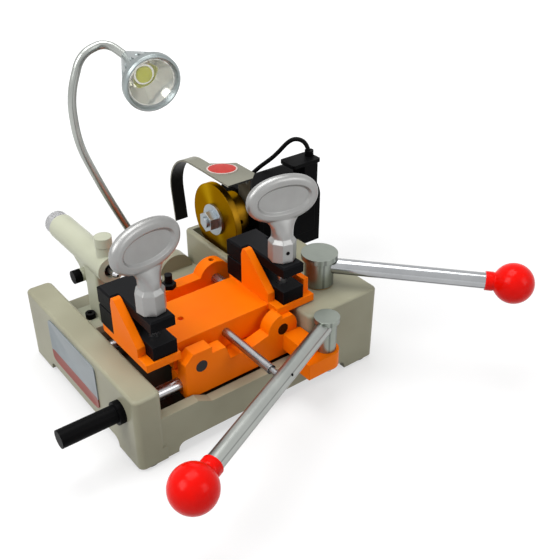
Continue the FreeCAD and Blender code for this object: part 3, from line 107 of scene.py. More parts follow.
class Finish:
    """One material's node tree, with the Principled shader as its end."""

    def __init__(self, name, tree=None):
        if tree is None:
            self.material = bpy.data.materials.new(name)
            self.material.use_nodes = True
            tree = self.material.node_tree
            self.shader = tree.nodes["Principled BSDF"]
        self.tree = tree

    def add(self, kind, settings=(), sockets=(), output=0):
        """Any node: its settings are set first, then its sockets get values or links."""
        node = self.tree.nodes.new(kind)
        for key, value in dict(settings).items():
            setattr(node, key, value)
        pairs = sockets.items() if isinstance(sockets, dict) else enumerate(sockets)
        for key, value in pairs:
            self.feed(node, key, value)
        return Wire(self, node.outputs[output])

    def feed(self, node, key, value):
        """A link into a node's socket, or a constant set on it."""
        if isinstance(value, Wire):
            self.tree.links.new(value.socket, node.inputs[key])
        else:
            node.inputs[key].default_value = value

    def set(self, **values):
        """Sockets of the Principled shader, with underscores for the spaces in their names."""
        for key, value in values.items():
            self.feed(self.shader, key.replace("_", " "), value)
        return self

    def painted(self):
        """The colour that the Principled shader has been given so far."""
        return Wire(self, self.shader.inputs["Base Color"].links[0].from_socket)

    def place(self):
        """Where a point lies in the object's own frame, in metres."""
        return self.add("ShaderNodeTexCoord", output="Object")

    def along(self):
        """The three coordinates of a point's place."""
        parts = self.add("ShaderNodeSeparateXYZ", {}, [self.place()]).socket.node
        return [Wire(self, parts.outputs[axis]) for axis in ("X", "Y", "Z")]

    def turned(self, axis):
        """How far a face turns to an axis: the product of its direction and the axis."""
        facing = self.add("ShaderNodeTexCoord", output="Normal")
        return self.add("ShaderNodeVectorMath", {"operation": "DOT_PRODUCT"}, [facing, axis], "Value")

    def noise(self, scale, detail=3.0, stretch=(1.0, 1.0, 1.0)):
        """Noise from 0 to 1, so many cells to the metre, longer along an axis whose stretch is small."""
        at = self.add("ShaderNodeMapping", {}, {"Vector": self.place(), "Scale": stretch})
        return self.add("ShaderNodeTexNoise", {}, {"Vector": at, "Scale": scale, "Detail": detail}, "Fac")

    def blend(self, factor, a, b):
        """The colour a where the factor is 0, and b where it is 1."""
        node = self.add("ShaderNodeMix", {"data_type": "RGBA"}, {"Factor": factor}, 2)
        mix = node.socket.node
        for key, value in ((6, a), (7, b)):
            self.feed(mix, key, value if isinstance(value, Wire) else (*value, 1.0))
        return node

    def bump(self, height, distance, strength=1.0, normal=None):
        """Normals bent by a height from 0 to 1, so many metres deep."""
        sockets = {"Height": height, "Distance": distance, "Strength": strength}
        if normal is not None:
            sockets["Normal"] = normal
        return self.add("ShaderNodeBump", {}, sockets)

    def soft_edges(self, radius):
        """Normals rounded over near edges, and a mask that is 1 on those edges."""
        rounded = self.add("ShaderNodeBevel", {"samples": 6}, {"Radius": radius})
        flat = self.add("ShaderNodeNewGeometry", output="Normal")
        facing = self.add("ShaderNodeVectorMath", {"operation": "DOT_PRODUCT"}, [rounded, flat], "Value")
        return rounded, (1.0 - facing).ramp(0.01, 0.22)


def srgb(red, green, blue):
    """Linear colour from the eight-bit values that a screen shows."""
    share = np.array([red, green, blue]) / 255.0
    return tuple(np.where(share <= 0.04045, share / 12.92, ((share + 0.055) / 1.055) ** 2.4))


def seen_rays(finish):
    """1 for rays that are seen, straight, in polish or through glass, 0 for those that only carry light."""
    rays = finish.add("ShaderNodeLightPath").socket.node
    kinds = ("Is Camera Ray", "Is Glossy Ray", "Is Transmission Ray")
    eye, polish, glass = (Wire(finish, rays.outputs[kind]) for kind in kinds)
    return (eye + polish + glass).math("MINIMUM", 1.0)


FLOOR_REACH = 6.0
FLOOR_SIDES = ((-1, -1), (1, -1), (1, 1), (-1, 1))
TABLE_SHADE = 0.42
GLOW_NEAR = (0.30, 0.56)
GLOW_FAR = (1.10, 0.90)
floor_mesh = bpy.data.meshes.new("table_top")
floor_corners = [(across * FLOOR_REACH, deep * FLOOR_REACH, 0.0) for across, deep in FLOOR_SIDES]
floor_mesh.from_pydata(floor_corners, [], [(0, 1, 2, 3)])
floor = bpy.data.objects.new("table_top", floor_mesh)
scene.collection.objects.link(floor)
table = Finish("table_white")
reach = table.add("ShaderNodeVectorMath", {"operation": "LENGTH"}, [table.place()], "Value")
glow = table.blend(reach.ramp(GLOW_NEAR[0], GLOW_FAR[0]), (GLOW_NEAR[1],) * 3, (GLOW_FAR[1],) * 3)
table.set(
    Base_Color=(TABLE_SHADE, TABLE_SHADE, TABLE_SHADE, 1.0),
    Roughness=0.9,
    Specular_IOR_Level=0.0,
    Emission_Strength=1.0,
    Emission_Color=table.blend(seen_rays(table), (0.0, 0.0, 0.0), glow),
)
floor_mesh.materials.append(table.material)

SURROUND_LIGHT = 0.36
world = bpy.data.worlds.new("surround")
world.use_nodes = True
scene.world = world
surround = Finish("surround", world.node_tree)
backdrop = world.node_tree.nodes["Background"]
backdrop.inputs["Color"].default_value = (1.0, 1.0, 1.0, 1.0)
surround.feed(backdrop, "Strength", seen_rays(surround) * (1.0 - SURROUND_LIGHT) + SURROUND_LIGHT)


def soft_box(name, place, aim, width, height, power):
    """Rectangular lamp at a place, turned towards a point."""
    lamp = bpy.data.lights.new(name, "AREA")
    lamp.shape = "RECTANGLE"
    lamp.size = width
    lamp.size_y = height
    lamp.energy = power
    lamp_object = bpy.data.objects.new(name, lamp)
    lamp_object.location = place
    lamp_object.rotation_euler = (Vector(aim) - Vector(place)).to_track_quat("-Z", "Y").to_euler()
    scene.collection.objects.link(lamp_object)


soft_box("left_box", (-1.4, 0.05, 1.3), aim=(0.0, 0.0, 0.08), width=1.0, height=1.0, power=17.0)
soft_box("top_box", (0.0, 0.2, 1.7), aim=(0.0, 0.0, 0.0), width=1.2, height=0.9, power=17.0)
soft_box("front_box", (0.6, -1.5, 0.9), aim=(0.05, 0.0, 0.1), width=0.7, height=0.9, power=6.5)


# Motor lead: a black rubber cable, 5 mm thick, out of the terminal box's gland and down
# behind the motor into the base. It stays fixed to the base.
LEAD_RADIUS = 0.0025
LEAD_ROUTE = [
    (0.1820, 0.0500, 0.1640),
    (0.1815, 0.0510, 0.1730),
    (0.1780, 0.0580, 0.1810),
    (0.1700, 0.0690, 0.1800),
    (0.1590, 0.0820, 0.1580),
    (0.1490, 0.0995, 0.1405),
    (0.1390, 0.1070, 0.1280),
    (0.1330, 0.1080, 0.1040),
    (0.1310, 0.1075, 0.0720),
]


def smooth_curve(name, route, radius):
    """NURBS tube on a route's own points as control points, held at both ends."""
    curve = bpy.data.curves.new(name, "CURVE")
    curve.dimensions = "3D"
    spline = curve.splines.new("NURBS")
    spline.points.add(len(route) - 1)
    spline.points.foreach_set("co", np.hstack([route, np.ones((len(route), 1))]).ravel())
    spline.order_u = 3
    spline.use_endpoint_u = True
    spline.resolution_u = 12
    curve.bevel_depth = radius
    curve.bevel_resolution = 6
    curve.use_fill_caps = True
    piece = bpy.data.objects.new(name, curve)
    scene.collection.objects.link(piece)
    return piece


lead_rubber = Finish("lead_rubber")
scuff = lead_rubber.noise(220.0)
lead_rubber.set(
    Base_Color=lead_rubber.blend(scuff, (0.002, 0.002, 0.002), (0.006, 0.006, 0.006)),
    Specular_IOR_Level=0.05,
    Roughness=scuff * 0.25 + 0.35,
    Normal=lead_rubber.bump(lead_rubber.noise(1500.0), 0.0001, 0.4),
)
lead = smooth_curve("lead_cable", LEAD_ROUTE, LEAD_RADIUS)
lead.data.materials.append(lead_rubber.material)
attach(lead, "base")
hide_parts("motor_lead")


# Base casting: grey iron, filled and sprayed in beige-grey paint with a little orange peel in it.
# Its chip tray, behind the low front wall, is painted near-black as painted shade, fading out higher up.
def cast_paint(name, shade, light, peel=0.00012, gloss=0.34, edge=0.0014, worn=None, sheen=0.2):
    """Sprayed paint on a casting: slow drifts of tone, orange peel, rubbed lighter edges."""
    finish = Finish(name)
    drift = finish.noise(14.0, 2.0)
    speck = finish.noise(900.0, 2.0)
    rounded, rim = finish.soft_edges(edge)
    tone = finish.blend(drift.ramp(0.3, 0.7), shade, light)
    lightened = rim * finish.noise(160.0, 4.0).ramp(0.5, 0.75)
    if worn is None:
        worn = tuple(min(1.0, channel * 1.35 + 0.03) for channel in light)
    finish.set(
        Base_Color=finish.blend(lightened * 0.5, tone, worn),
        Roughness=drift * 0.14 + speck * 0.06 + gloss - 0.08,
        Specular_IOR_Level=sheen,
        Normal=finish.bump(speck, peel, 0.6, rounded),
    )
    return finish


def dress(finish, *names):
    """One finish on every named CAD node."""
    for name in names:
        mesh = nodes[name].data
        mesh.materials.clear()
        mesh.materials.append(finish.material)


TRAY_X = (-0.1135, 0.0750)
TRAY_Y = (-0.1005, 0.0400)
TRAY_SHADE_FADE = (0.026, 0.052)
base_paint = cast_paint("base_paint", srgb(146, 143, 121), srgb(162, 160, 138))
at_x, at_y, at_z = base_paint.along()
in_tray = at_x.math("GREATER_THAN", TRAY_X[0]) * at_x.math("LESS_THAN", TRAY_X[1])
in_tray = in_tray * at_y.math("GREATER_THAN", TRAY_Y[0]) * at_y.math("LESS_THAN", TRAY_Y[1])
# Painted shade: inside the walls the tray is painted near-black up to the lower height, fading out by the
# upper one.
painted_tray_shade = in_tray * (1.0 - at_z.ramp(*TRAY_SHADE_FADE))
base_paint.set(Base_Color=base_paint.blend(painted_tray_shade * 0.92, base_paint.painted(), (0.010, 0.009, 0.007)))
dress(base_paint, "base_casting")


# Label plate: pressed aluminium with a raised frame, riveted to the left wall's outer face.
# It is bare: a grey-blue field with a dull red band along its foot.
LABEL_PLACE = (-0.1400, 0.0095, 0.0490)
LABEL_HALF = np.array((0.0495, 0.0250))
LABEL_THICK = 0.0012
LABEL_FRAME = 0.0030
LABEL_CREST = 0.0018
LABEL_FIELD = 0.0006
LABEL_BAND = 0.0100
LABEL_POWER = 12.0
MERGE = 1e-6


def skin(name, body, finish, grids, hides=(), sharp=32.0):
    """One mesh from closed grids of points: rows follow one another, and each row runs round on itself."""
    points = np.concatenate([grid.reshape(-1, 3) for grid in grids])
    faces = []
    first = 0
    for grid in grids:
        rows, columns = grid.shape[:2]
        index = first + np.arange(rows * columns).reshape(rows, columns)
        beside = np.roll(index, -1, axis=1)
        faces.append(np.stack([index[:-1], beside[:-1], beside[1:], index[1:]], axis=-1).reshape(-1, 4))
        first += rows * columns
    mesh = bpy.data.meshes.new(name)
    mesh.from_pydata(points.tolist(), [], np.concatenate(faces).tolist())
    work = bmesh.new()
    work.from_mesh(mesh)
    bmesh.ops.remove_doubles(work, verts=work.verts, dist=MERGE)
    bmesh.ops.recalc_face_normals(work, faces=work.faces)
    work.to_mesh(mesh)
    work.free()
    mesh.shade_smooth()
    mesh.set_sharp_from_angle(angle=math.radians(sharp))
    mesh.materials.append(finish.material)
    piece = bpy.data.objects.new(name, mesh)
    scene.collection.objects.link(piece)
    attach(piece, body)
    if hides:
        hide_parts(*hides)
    return piece


def pressed(rows, power, place, across, up, out, columns=128):
    """Rows of ovals, given by half width, half height and height off the place.

    Each has |u / half width| ^ power + |v / half height| ^ power = 1.
    """
    turn = np.linspace(0.0, 2 * np.pi, columns, endpoint=False)
    u = np.sign(np.cos(turn)) * np.abs(np.cos(turn)) ** (2 / power)
    v = np.sign(np.sin(turn)) * np.abs(np.sin(turn)) ** (2 / power)
    wide, tall, high = (np.array(column)[:, None, None] for column in zip(*rows))
    flat = wide * u[:, None] * np.array(across) + tall * v[:, None] * np.array(up)
    return np.array(place) + flat + high * np.array(out)


label_sheet = Finish("label_sheet")
band_top = LABEL_PLACE[2] - LABEL_HALF[1] + LABEL_FRAME + LABEL_BAND
in_band = label_sheet.along()[2].math("LESS_THAN", band_top)
wear = label_sheet.noise(90.0, 4.0)
label_sheet.set(
    Base_Color=label_sheet.blend(
        in_band,
        label_sheet.blend(wear, srgb(120, 128, 132), srgb(150, 158, 162)),
        label_sheet.blend(wear, srgb(122, 52, 44), srgb(146, 66, 54)),
    ),
    Metallic=0.35,
    Roughness=wear * 0.2 + 0.3,
)
label_rows = [
    (*LABEL_HALF, 0.0),
    (*LABEL_HALF, LABEL_THICK),
    (*(LABEL_HALF - LABEL_CREST), LABEL_THICK),
    (*(LABEL_HALF - LABEL_FRAME), LABEL_FIELD),
    (0.0, 0.0, LABEL_FIELD),
]
label_grid = pressed(label_rows, LABEL_POWER, LABEL_PLACE, (0, -1, 0), (0, 0, 1), (-1, 0, 0))
skin("label_plate", "base", label_sheet, [label_grid])


# Feet: rings of black moulded rubber with a dull grain, one under each corner of the casting.
# The bench bolts go down through them.
foot_rubber = Finish("foot_rubber")
foot_rubber.set(
    Base_Color=foot_rubber.blend(foot_rubber.noise(300.0), (0.006, 0.006, 0.006), (0.02, 0.02, 0.02)),
    Roughness=0.75,
    Normal=foot_rubber.bump(foot_rubber.noise(1200.0), 0.0002, 0.5),
)
dress(foot_rubber, "rubber_feet")


# Orange castings: the saddle on the cross shaft and the carriage on its rods, milled on their
# working faces and sprayed in bright orange enamel.
orange_paint = cast_paint(
    "orange_paint", srgb(248, 110, 0), srgb(255, 126, 0), gloss=0.4, worn=srgb(255, 160, 60), sheen=0.1
)
dress(orange_paint, "saddle", "carriage")


# Tracer bracket and the lock screw in its top: iron castings in a paler paint than the base.
# The bracket is bolted down behind the left vise.
tracer_paint = cast_paint("tracer_paint", srgb(180, 182, 160), srgb(194, 196, 176), edge=0.0012)
dress(tracer_paint, "tracer_bracket", "tracer_lock")


# Turned and ground steel: shafts, rods, pins and studs, with fine lines from the wheel and oil on them.
# The cutter's nut, its washer and the spindle's end have a duller zinc plating.
def drawn_steel(name, dark, bright, stretch, rough=0.26, lines=900.0, depth=0.00002, shaded_ends=None):
    """Metal with fine lines along the axes whose stretch is small, and painted shade on faces across an end
    axis.
    """
    finish = Finish(name)
    streak = finish.noise(lines, 3.0, stretch)
    smear = finish.noise(60.0, 3.0)
    rounded, _ = finish.soft_edges(0.0006)
    tone = finish.blend(streak * 0.6 + smear * 0.4, dark, bright)
    if shaded_ends is not None:
        across = finish.turned(shaded_ends).math("ABSOLUTE").ramp(0.85, 0.97)
        tone = finish.blend(across, tone, tuple(0.08 * shade for shade in dark))
    finish.set(
        Base_Color=tone,
        Metallic=1.0,
        Roughness=streak * 0.12 + smear * 0.12 + rough - 0.1,
        Normal=finish.bump(streak, depth, 0.5, rounded),
    )
    return finish


GROUND_DARK = (0.30, 0.30, 0.31)
GROUND_BRIGHT = (0.48, 0.48, 0.49)
ground_x = drawn_steel("ground_along_x", GROUND_DARK, GROUND_BRIGHT, (0.03, 1.0, 1.0))
# Painted shade: the end faces of the rods along y are darkened nearly to black.
ground_y = drawn_steel("ground_along_y", GROUND_DARK, GROUND_BRIGHT, (1.0, 0.03, 1.0), shaded_ends=(0.0, 1.0, 0.0))
ground_z = drawn_steel("ground_round_z", (0.32, 0.32, 0.33), (0.50, 0.50, 0.50), (0.06, 0.06, 1.0))
zinc_plate = drawn_steel(
    "zinc_plate",
    (0.27, 0.30, 0.32),
    (0.42, 0.45, 0.47),
    (1.0, 1.0, 1.0),
    rough=0.34,
    lines=120.0,
    depth=0.00001,
)
dress(zinc_plate, "clamp_washer", "cutter_nut", "rotor")
dress(ground_x, "cross_shaft", "rear_guide_bar", "shaft_yoke")
dress(ground_y, "guide_rods", "push_rod", "tracer_pin")
dress(ground_z, "feed_pivot", "jaw_studs", "traverse_crank", "motor_bearings")


# Bushes: cast bronze, turned and oiled, for the shafts, rods and lever to run in.
# They are pressed into the castings.
bush_bronze = drawn_steel("bush_bronze", (0.35, 0.2, 0.07), (0.55, 0.34, 0.13), (1.0, 0.1, 0.1), 0.36)
dress(bush_bronze, "shaft_bushes", "rear_bush", "rod_bushes", "lever_bush")


# Traverse lever's rod and the lamp's socket: steel, ground, polished and chromed.
# The dark bands along them are painted reflections, set by which way each face turns.
REFLECTION_BAND_AXIS = (0.62, -0.49, -0.62)
REFLECTION_BANDS = ((-0.92, 0.08), (0.22, 0.09), (0.74, 0.10))
REFLECTION_BAND_CORE = 0.35


def painted_reflection_bands(finish):
    """1 where the face turns to one of the painted reflection bands, dark stripes that a round chrome bar
    would reflect, 0 elsewhere.
    """
    turned = finish.turned(REFLECTION_BAND_AXIS)
    first, second, third = (
        1.0 - (turned - middle).math("ABSOLUTE").ramp(REFLECTION_BAND_CORE * half, half) for middle, half in REFLECTION_BANDS
    )
    return (first + second + third).math("MINIMUM", 1.0)


chrome = Finish("chrome_plate")
haze = chrome.noise(45.0, 4.0)
plate = chrome.blend(haze, (0.30, 0.31, 0.32), (0.46, 0.47, 0.48))
chrome.set(
    # Painted reflection: dark bands along the rod and socket, at nearly full strength.
    Base_Color=chrome.blend(painted_reflection_bands(chrome) * 0.85, plate, (0.05, 0.05, 0.055)),
    Metallic=1.0,
    Roughness=haze * 0.1 + 0.13,
    Normal=chrome.bump(chrome.noise(500.0, 2.0), 0.00002, 0.3),
)
dress(chrome, "lamp_socket", "traverse_rod")


# Feed lever's rod and the lamp's gooseneck: steel with a satin chrome, paler than the polished one.
# The rod is screwed into its hub, and the gooseneck stands in its socket.
rod_satin = Finish("rod_satin")
haze = rod_satin.noise(30.0, 4.0)
pale = rod_satin.blend(haze, srgb(146, 149, 146), srgb(176, 179, 174))
rod_satin.set(
    # Painted reflection: dark bands along the rod and gooseneck, at a little under half strength.
    Base_Color=rod_satin.blend(painted_reflection_bands(rod_satin) * 0.45, pale, (0.06, 0.06, 0.06)),
    Metallic=1.0,
    Roughness=haze * 0.15 + 0.25,
    Normal=rod_satin.bump(rod_satin.noise(700.0, 2.0), 0.00002, 0.3),
)
dress(rod_satin, "feed_rod", "gooseneck")


# Lever hubs: steel, turned and satin chromed, with very fine rings round them.
# The feed hub turns on the saddle's arm, and the traverse post in the base's right block.
post_steel = Finish("post_steel")
rings = post_steel.noise(700.0, 3.0, (0.1, 0.1, 1.0))
smear = post_steel.noise(60.0, 3.0)
rounded, _ = post_steel.soft_edges(0.0006)
satin = post_steel.blend(rings * 0.3 + smear * 0.4, srgb(132, 138, 131), srgb(160, 166, 156))
post_steel.set(
    # Painted reflection: dark bands on the hubs, at half strength.
    Base_Color=post_steel.blend(painted_reflection_bands(post_steel) * 0.5, satin, (0.03, 0.03, 0.03)),
    Metallic=0.85,
    Roughness=rings * 0.06 + smear * 0.06 + 0.24,
    Normal=post_steel.bump(rings, 0.00001, 0.08, rounded),
)
dress(post_steel, "feed_hub", "traverse_post")


# Ball knobs: red phenolic mouldings on the lever ends, glossy, with faint scuffs.
# Each has a neck that runs into the ball, and is screwed on its rod.
BALL_RADIUS = 0.0200
BALL_NECK_RADIUS = 0.0095
BALL_NECK_LENGTH = 0.0270
BALL_BLEND = 900.0
FEED_PIVOT = (0.0600, -0.1260, 0.0830)
FEED_TURN = 204.4
FEED_REACH = 0.2320
TRAVERSE_PIVOT = (0.0980, -0.0690, 0.1090)
TRAVERSE_TURN = -48.4
TRAVERSE_REACH = 0.1900


def revolved(profile, start, axis, columns=96, swell=0.0):
    """Rows of rings about an axis from (distance along, radius); swell adds to the radius by angle."""
    axis = np.array(axis) / np.linalg.norm(axis)
    side = np.cross(axis, (0.0, 0.0, 1.0) if abs(axis[2]) < 0.9 else (1.0, 0.0, 0.0))
    side /= np.linalg.norm(side)
    other = np.cross(axis, side)
    turn = np.linspace(0.0, 2 * np.pi, columns, endpoint=False)
    along, radius = (np.array(column)[:, None] for column in zip(*profile))
    reach = (radius + swell * (radius > 0))[..., None]
    ring = np.cos(turn)[:, None] * side + np.sin(turn)[:, None] * other
    return np.array(start) + along[..., None] * axis + reach * ring


def lever_ball(lever, body, pivot, angle, length):
    """Ball on a lever: the soft maximum of a neck's radius and a sphere's along the lever."""
    axis = (math.cos(math.radians(angle)), math.sin(math.radians(angle)), 0.0)
    centre = np.array(pivot) + length * np.array(axis)
    along = np.concatenate([
        np.linspace(-BALL_NECK_LENGTH, -0.5 * BALL_RADIUS, 40),
        BALL_RADIUS * np.sin(np.linspace(-np.pi / 6, np.pi / 2, 60))[1:],
    ])
    ball = np.sqrt(np.maximum(0.0, BALL_RADIUS**2 - along**2))
    neck = np.where(along < 0.0, BALL_NECK_RADIUS * np.minimum(1.0, -along / BALL_RADIUS), 0.0)
    radius = np.log(np.exp(BALL_BLEND * ball) + np.exp(BALL_BLEND * neck) - 1.0) / BALL_BLEND
    profile = [(-BALL_NECK_LENGTH, 0.0), *zip(along, radius)]
    grid = revolved(profile, centre, axis)
    skin(lever + "_knob_ball", body, ball_red, [grid], [lever + "_ball"])


ball_red = Finish("ball_red")
scuff = ball_red.noise(120.0, 4.0)
ball_red.set(
    Base_Color=ball_red.blend(scuff, srgb(222, 8, 2), srgb(240, 16, 6)),
    Roughness=scuff.ramp(0.45, 0.8) * 0.2 + 0.14,
    Specular_IOR_Level=0.10,
)
lever_ball("feed", "feed_lever", FEED_PIVOT, FEED_TURN, FEED_REACH)
lever_ball("traverse", "traverse_lever", TRAVERSE_PIVOT, TRAVERSE_TURN, TRAVERSE_REACH)


# Tracer's thimble: a turned steel cap on the barrel's rear end, with a diamond knurl rolled into it.
# It is ground bright, and turns on the tracer's thread.
THIMBLE_RADIUS = 0.0130
THIMBLE_LENGTH = 0.0140
THIMBLE_EDGE = 0.0012
KNURLS = 36
KNURL_DEPTH = 0.0003
KNURL_CREST = 1.6
thimble_low, thimble_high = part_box("tracer_thimble")
thimble_start = (
    (thimble_low[0] + thimble_high[0]) / 2,
    thimble_high[1] - THIMBLE_LENGTH,
    (thimble_low[2] + thimble_high[2]) / 2,
)
knurl_columns = 12 * KNURLS
knurl_turn = np.linspace(0.0, 2 * np.pi, knurl_columns, endpoint=False)
knurl_along = np.linspace(THIMBLE_EDGE, THIMBLE_LENGTH - THIMBLE_EDGE, 60)
thimble_profile = [
    (0.0, 0.0),
    (0.0, THIMBLE_RADIUS - THIMBLE_EDGE),
    *[(along, THIMBLE_RADIUS) for along in knurl_along],
    (THIMBLE_LENGTH, THIMBLE_RADIUS - THIMBLE_EDGE),
    (THIMBLE_LENGTH, 0.0),
]
lift = knurl_along[:, None] / THIMBLE_RADIUS
cross_hatch = np.abs(np.sin(KNURLS / 2 * (knurl_turn + lift)) * np.sin(KNURLS / 2 * (knurl_turn - lift)))
knurl = np.zeros((len(thimble_profile), knurl_columns))
knurl[2:-2] = KNURL_DEPTH * (np.minimum(1.0, KNURL_CREST * cross_hatch) - 1.0)
thimble_grid = revolved(thimble_profile, thimble_start, (0.0, 1.0, 0.0), knurl_columns, knurl)
skin("knurled_cap", "thimble", ground_z, [thimble_grid], ["tracer_thimble"])


# Vises: steel jaws, milled and blackened, their upward faces painted lighter grey as painted top light;
# the lower ones are fixed to the carriage. The cap screws, set screws and stop screw are blackened in the
# same way.
jaw_black = Finish("jaw_black")
streak = jaw_black.noise(700.0, 3.0, (0.08, 1.0, 1.0))
bloom = jaw_black.noise(70.0, 4.0)
rounded, rim = jaw_black.soft_edges(0.0009)
painted_top_light = jaw_black.turned((0.0, 0.0, 1.0)).ramp(0.6, 0.9)
blued = jaw_black.blend(bloom, (0.001, 0.001, 0.0015), (0.003, 0.003, 0.004))
lightened = jaw_black.blend(bloom, (0.008, 0.008, 0.009), (0.014, 0.014, 0.015))
jaw_black.set(
    # Painted light: faces turned upward take the lighter grey.
    Base_Color=jaw_black.blend(rim * 0.25, jaw_black.blend(painted_top_light, blued, lightened), (0.08, 0.08, 0.09)),
    Specular_IOR_Level=0.04,
    Roughness=streak * 0.15 + bloom * 0.15 + 0.3,
    Normal=jaw_black.bump(streak, 0.00005, 0.5, rounded),
)
dress(jaw_black, "left_lower_jaw", "right_lower_jaw", "left_upper_jaw", "right_upper_jaw")
dress(jaw_black, "socket_screws", "set_screws", "stop_screw")


# Wing knobs: zinc castings with satin plating, an oval paddle with a bare sunk panel each side.
# Each screws down a stud onto its upper jaw, and a small black screw holds its stem.
KNOB_Y = -0.0720
STEM_BOTTOM = 0.1368
STEM_SHOULDER = 0.1560
STEM_TOP = 0.1600
STEM_RADIUS = 0.0135
STEM_SIDES = 8
STEM_FADE = 4.0
NECK_RADIUS = 0.0105
NECK_TOP = 0.1840
NECK_SPREAD = 0.0140
NECK_ROWS = 40
PADDLE_Z = 0.1990
PADDLE_HALF = (0.0360, 0.0230, 0.0055)
PADDLE_EDGE = 0.0054
PADDLE_POWER = 2.15
PANEL_MARGIN = 0.0085
PANEL_DEPTH = 0.0024
SCREW_RADIUS = 0.0019
SCREW_Z = 0.1473
SCREW_PROUD = 0.0002
UP = np.array((0.0, 0.0, 1.0))
ROUND = 2.0


def disc_rows(radius, low, high):
    """Rows of a flat round disc between two heights, closed at both ends."""
    return [(0.0, 0.0, low), (radius, radius, low), (radius, radius, high), (0.0, 0.0, high)]


def knob_stem(foot, across, thick):
    """Faceted stem below a neck that widens as the cube of its height and thins as its power 1.5."""
    turn = np.linspace(0.0, 2 * np.pi, 128, endpoint=False)
    facet = np.mod(turn + np.pi / STEM_SIDES, 2 * np.pi / STEM_SIDES) - np.pi / STEM_SIDES
    facet = np.cos(np.pi / STEM_SIDES) / np.cos(facet)
    rise = np.linspace(0.0, 1.0, NECK_ROWS)
    neck_heights = STEM_TOP + (NECK_TOP - STEM_TOP) * rise
    slim = PADDLE_HALF[2] - PANEL_DEPTH
    below = [0.0, STEM_RADIUS, STEM_RADIUS]
    heights = np.concatenate([[STEM_BOTTOM, STEM_BOTTOM, STEM_SHOULDER], neck_heights, [NECK_TOP]])
    wide = np.concatenate([below, NECK_RADIUS + NECK_SPREAD * rise**3, [0.0]])
    deep = np.concatenate([below, NECK_RADIUS + (slim - NECK_RADIUS) * rise**1.5, [0.0]])
    faceted = np.concatenate([[1.0, 1.0, 1.0], np.maximum(0.0, 1.0 - STEM_FADE * rise), [0.0]])
    shape = 1.0 + faceted[:, None] * (facet - 1.0)
    stem = foot + heights[:, None, None] * UP
    stem = stem + (wide[:, None] * shape * np.cos(turn))[..., None] * across
    return stem + (deep[:, None] * shape * np.sin(turn))[..., None] * thick


def knob_paddle(foot, across, thick):
    """Oval with a quarter-round edge and a panel sunk into each face."""
    long, tall, half = PADDLE_HALF
    bend = np.linspace(0.0, np.pi / 2, 9)
    inset = PADDLE_EDGE * (1 - np.cos(bend))
    front = list(zip(long - inset, tall - inset, half - PADDLE_EDGE * (1 - np.sin(bend))))
    inner = (long - PANEL_MARGIN, tall - PANEL_MARGIN)
    front += [
        (*inner, half),
        (inner[0] - PANEL_DEPTH, inner[1] - PANEL_DEPTH, half - PANEL_DEPTH),
        (0.0, 0.0, half - PANEL_DEPTH),
    ]
    rows = [(w, t, -h) for w, t, h in reversed(front)] + front
    return pressed(rows, PADDLE_POWER, foot + PADDLE_Z * UP, across, UP, thick, columns=160)


def wing_knob(side, x, angle, screw_side):
    """Stem and paddle as one casting at a place, turned by an angle, with the stem's screw on one side."""
    lean = math.radians(angle)
    across = np.array((math.cos(lean), math.sin(lean), 0.0))
    thick = np.array((-math.sin(lean), math.cos(lean), 0.0))
    foot = np.array((x, KNOB_Y, 0.0))
    casting = [knob_stem(foot, across, thick), knob_paddle(foot, across, thick)]
    skin(side + "_wing", side + "_wing", wing_zinc, casting, [side + "_knob"], sharp=25.0)
    flat = STEM_RADIUS * math.cos(math.pi / STEM_SIDES)
    screw_place = foot + SCREW_Z * UP + screw_side * flat * thick
    screw_rows = disc_rows(SCREW_RADIUS, -SCREW_PROUD, SCREW_PROUD)
    screw = pressed(screw_rows, ROUND, screw_place, across, UP, screw_side * thick, columns=32)
    skin(side + "_stem_screw", side + "_wing", jaw_black, [screw])


wing_zinc = Finish("wing_zinc")
grain = wing_zinc.noise(1400.0, 2.0)
cloud = wing_zinc.noise(40.0, 3.0)
rounded, _ = wing_zinc.soft_edges(0.0012)
wing_zinc.set(
    Base_Color=wing_zinc.blend(cloud, srgb(138, 138, 136), srgb(168, 168, 167)),
    Metallic=0.7,
    Roughness=grain * 0.1 + cloud * 0.1 + 0.28,
    Normal=wing_zinc.bump(grain, 0.00005, 0.5, rounded),
)
wing_knob("left", x=-0.0940, angle=10.0, screw_side=1.0)
wing_knob("right", x=0.0480, angle=-12.0, screw_side=-1.0)


# Feed lever's grub screw: a small blackened screw in the rod's flank.
# It sits where the push rod meets the lever.
GRUB_RADIUS = 0.0014
GRUB_PROUD = 0.0002
GRUB_ALONG = 0.0860
GRUB_TILT = math.radians(60.0)
ROD_RADIUS = 0.0080
lever_turn = math.radians(FEED_TURN)
lever_axis = np.array((math.cos(lever_turn), math.sin(lever_turn), 0.0))
lever_flank = np.array((-math.sin(lever_turn), math.cos(lever_turn), 0.0))
grub_out = math.cos(GRUB_TILT) * UP + math.sin(GRUB_TILT) * lever_flank
grub_place = np.array(FEED_PIVOT) + GRUB_ALONG * lever_axis + ROD_RADIUS * grub_out
grub_rows = disc_rows(GRUB_RADIUS, -GRUB_RADIUS, GRUB_PROUD)
grub_up = np.cross(grub_out, lever_axis)
grub = pressed(grub_rows, ROUND, grub_place, lever_axis, grub_up, grub_out, columns=32)
skin("feed_grub_screw", "feed_lever", jaw_black, [grub])


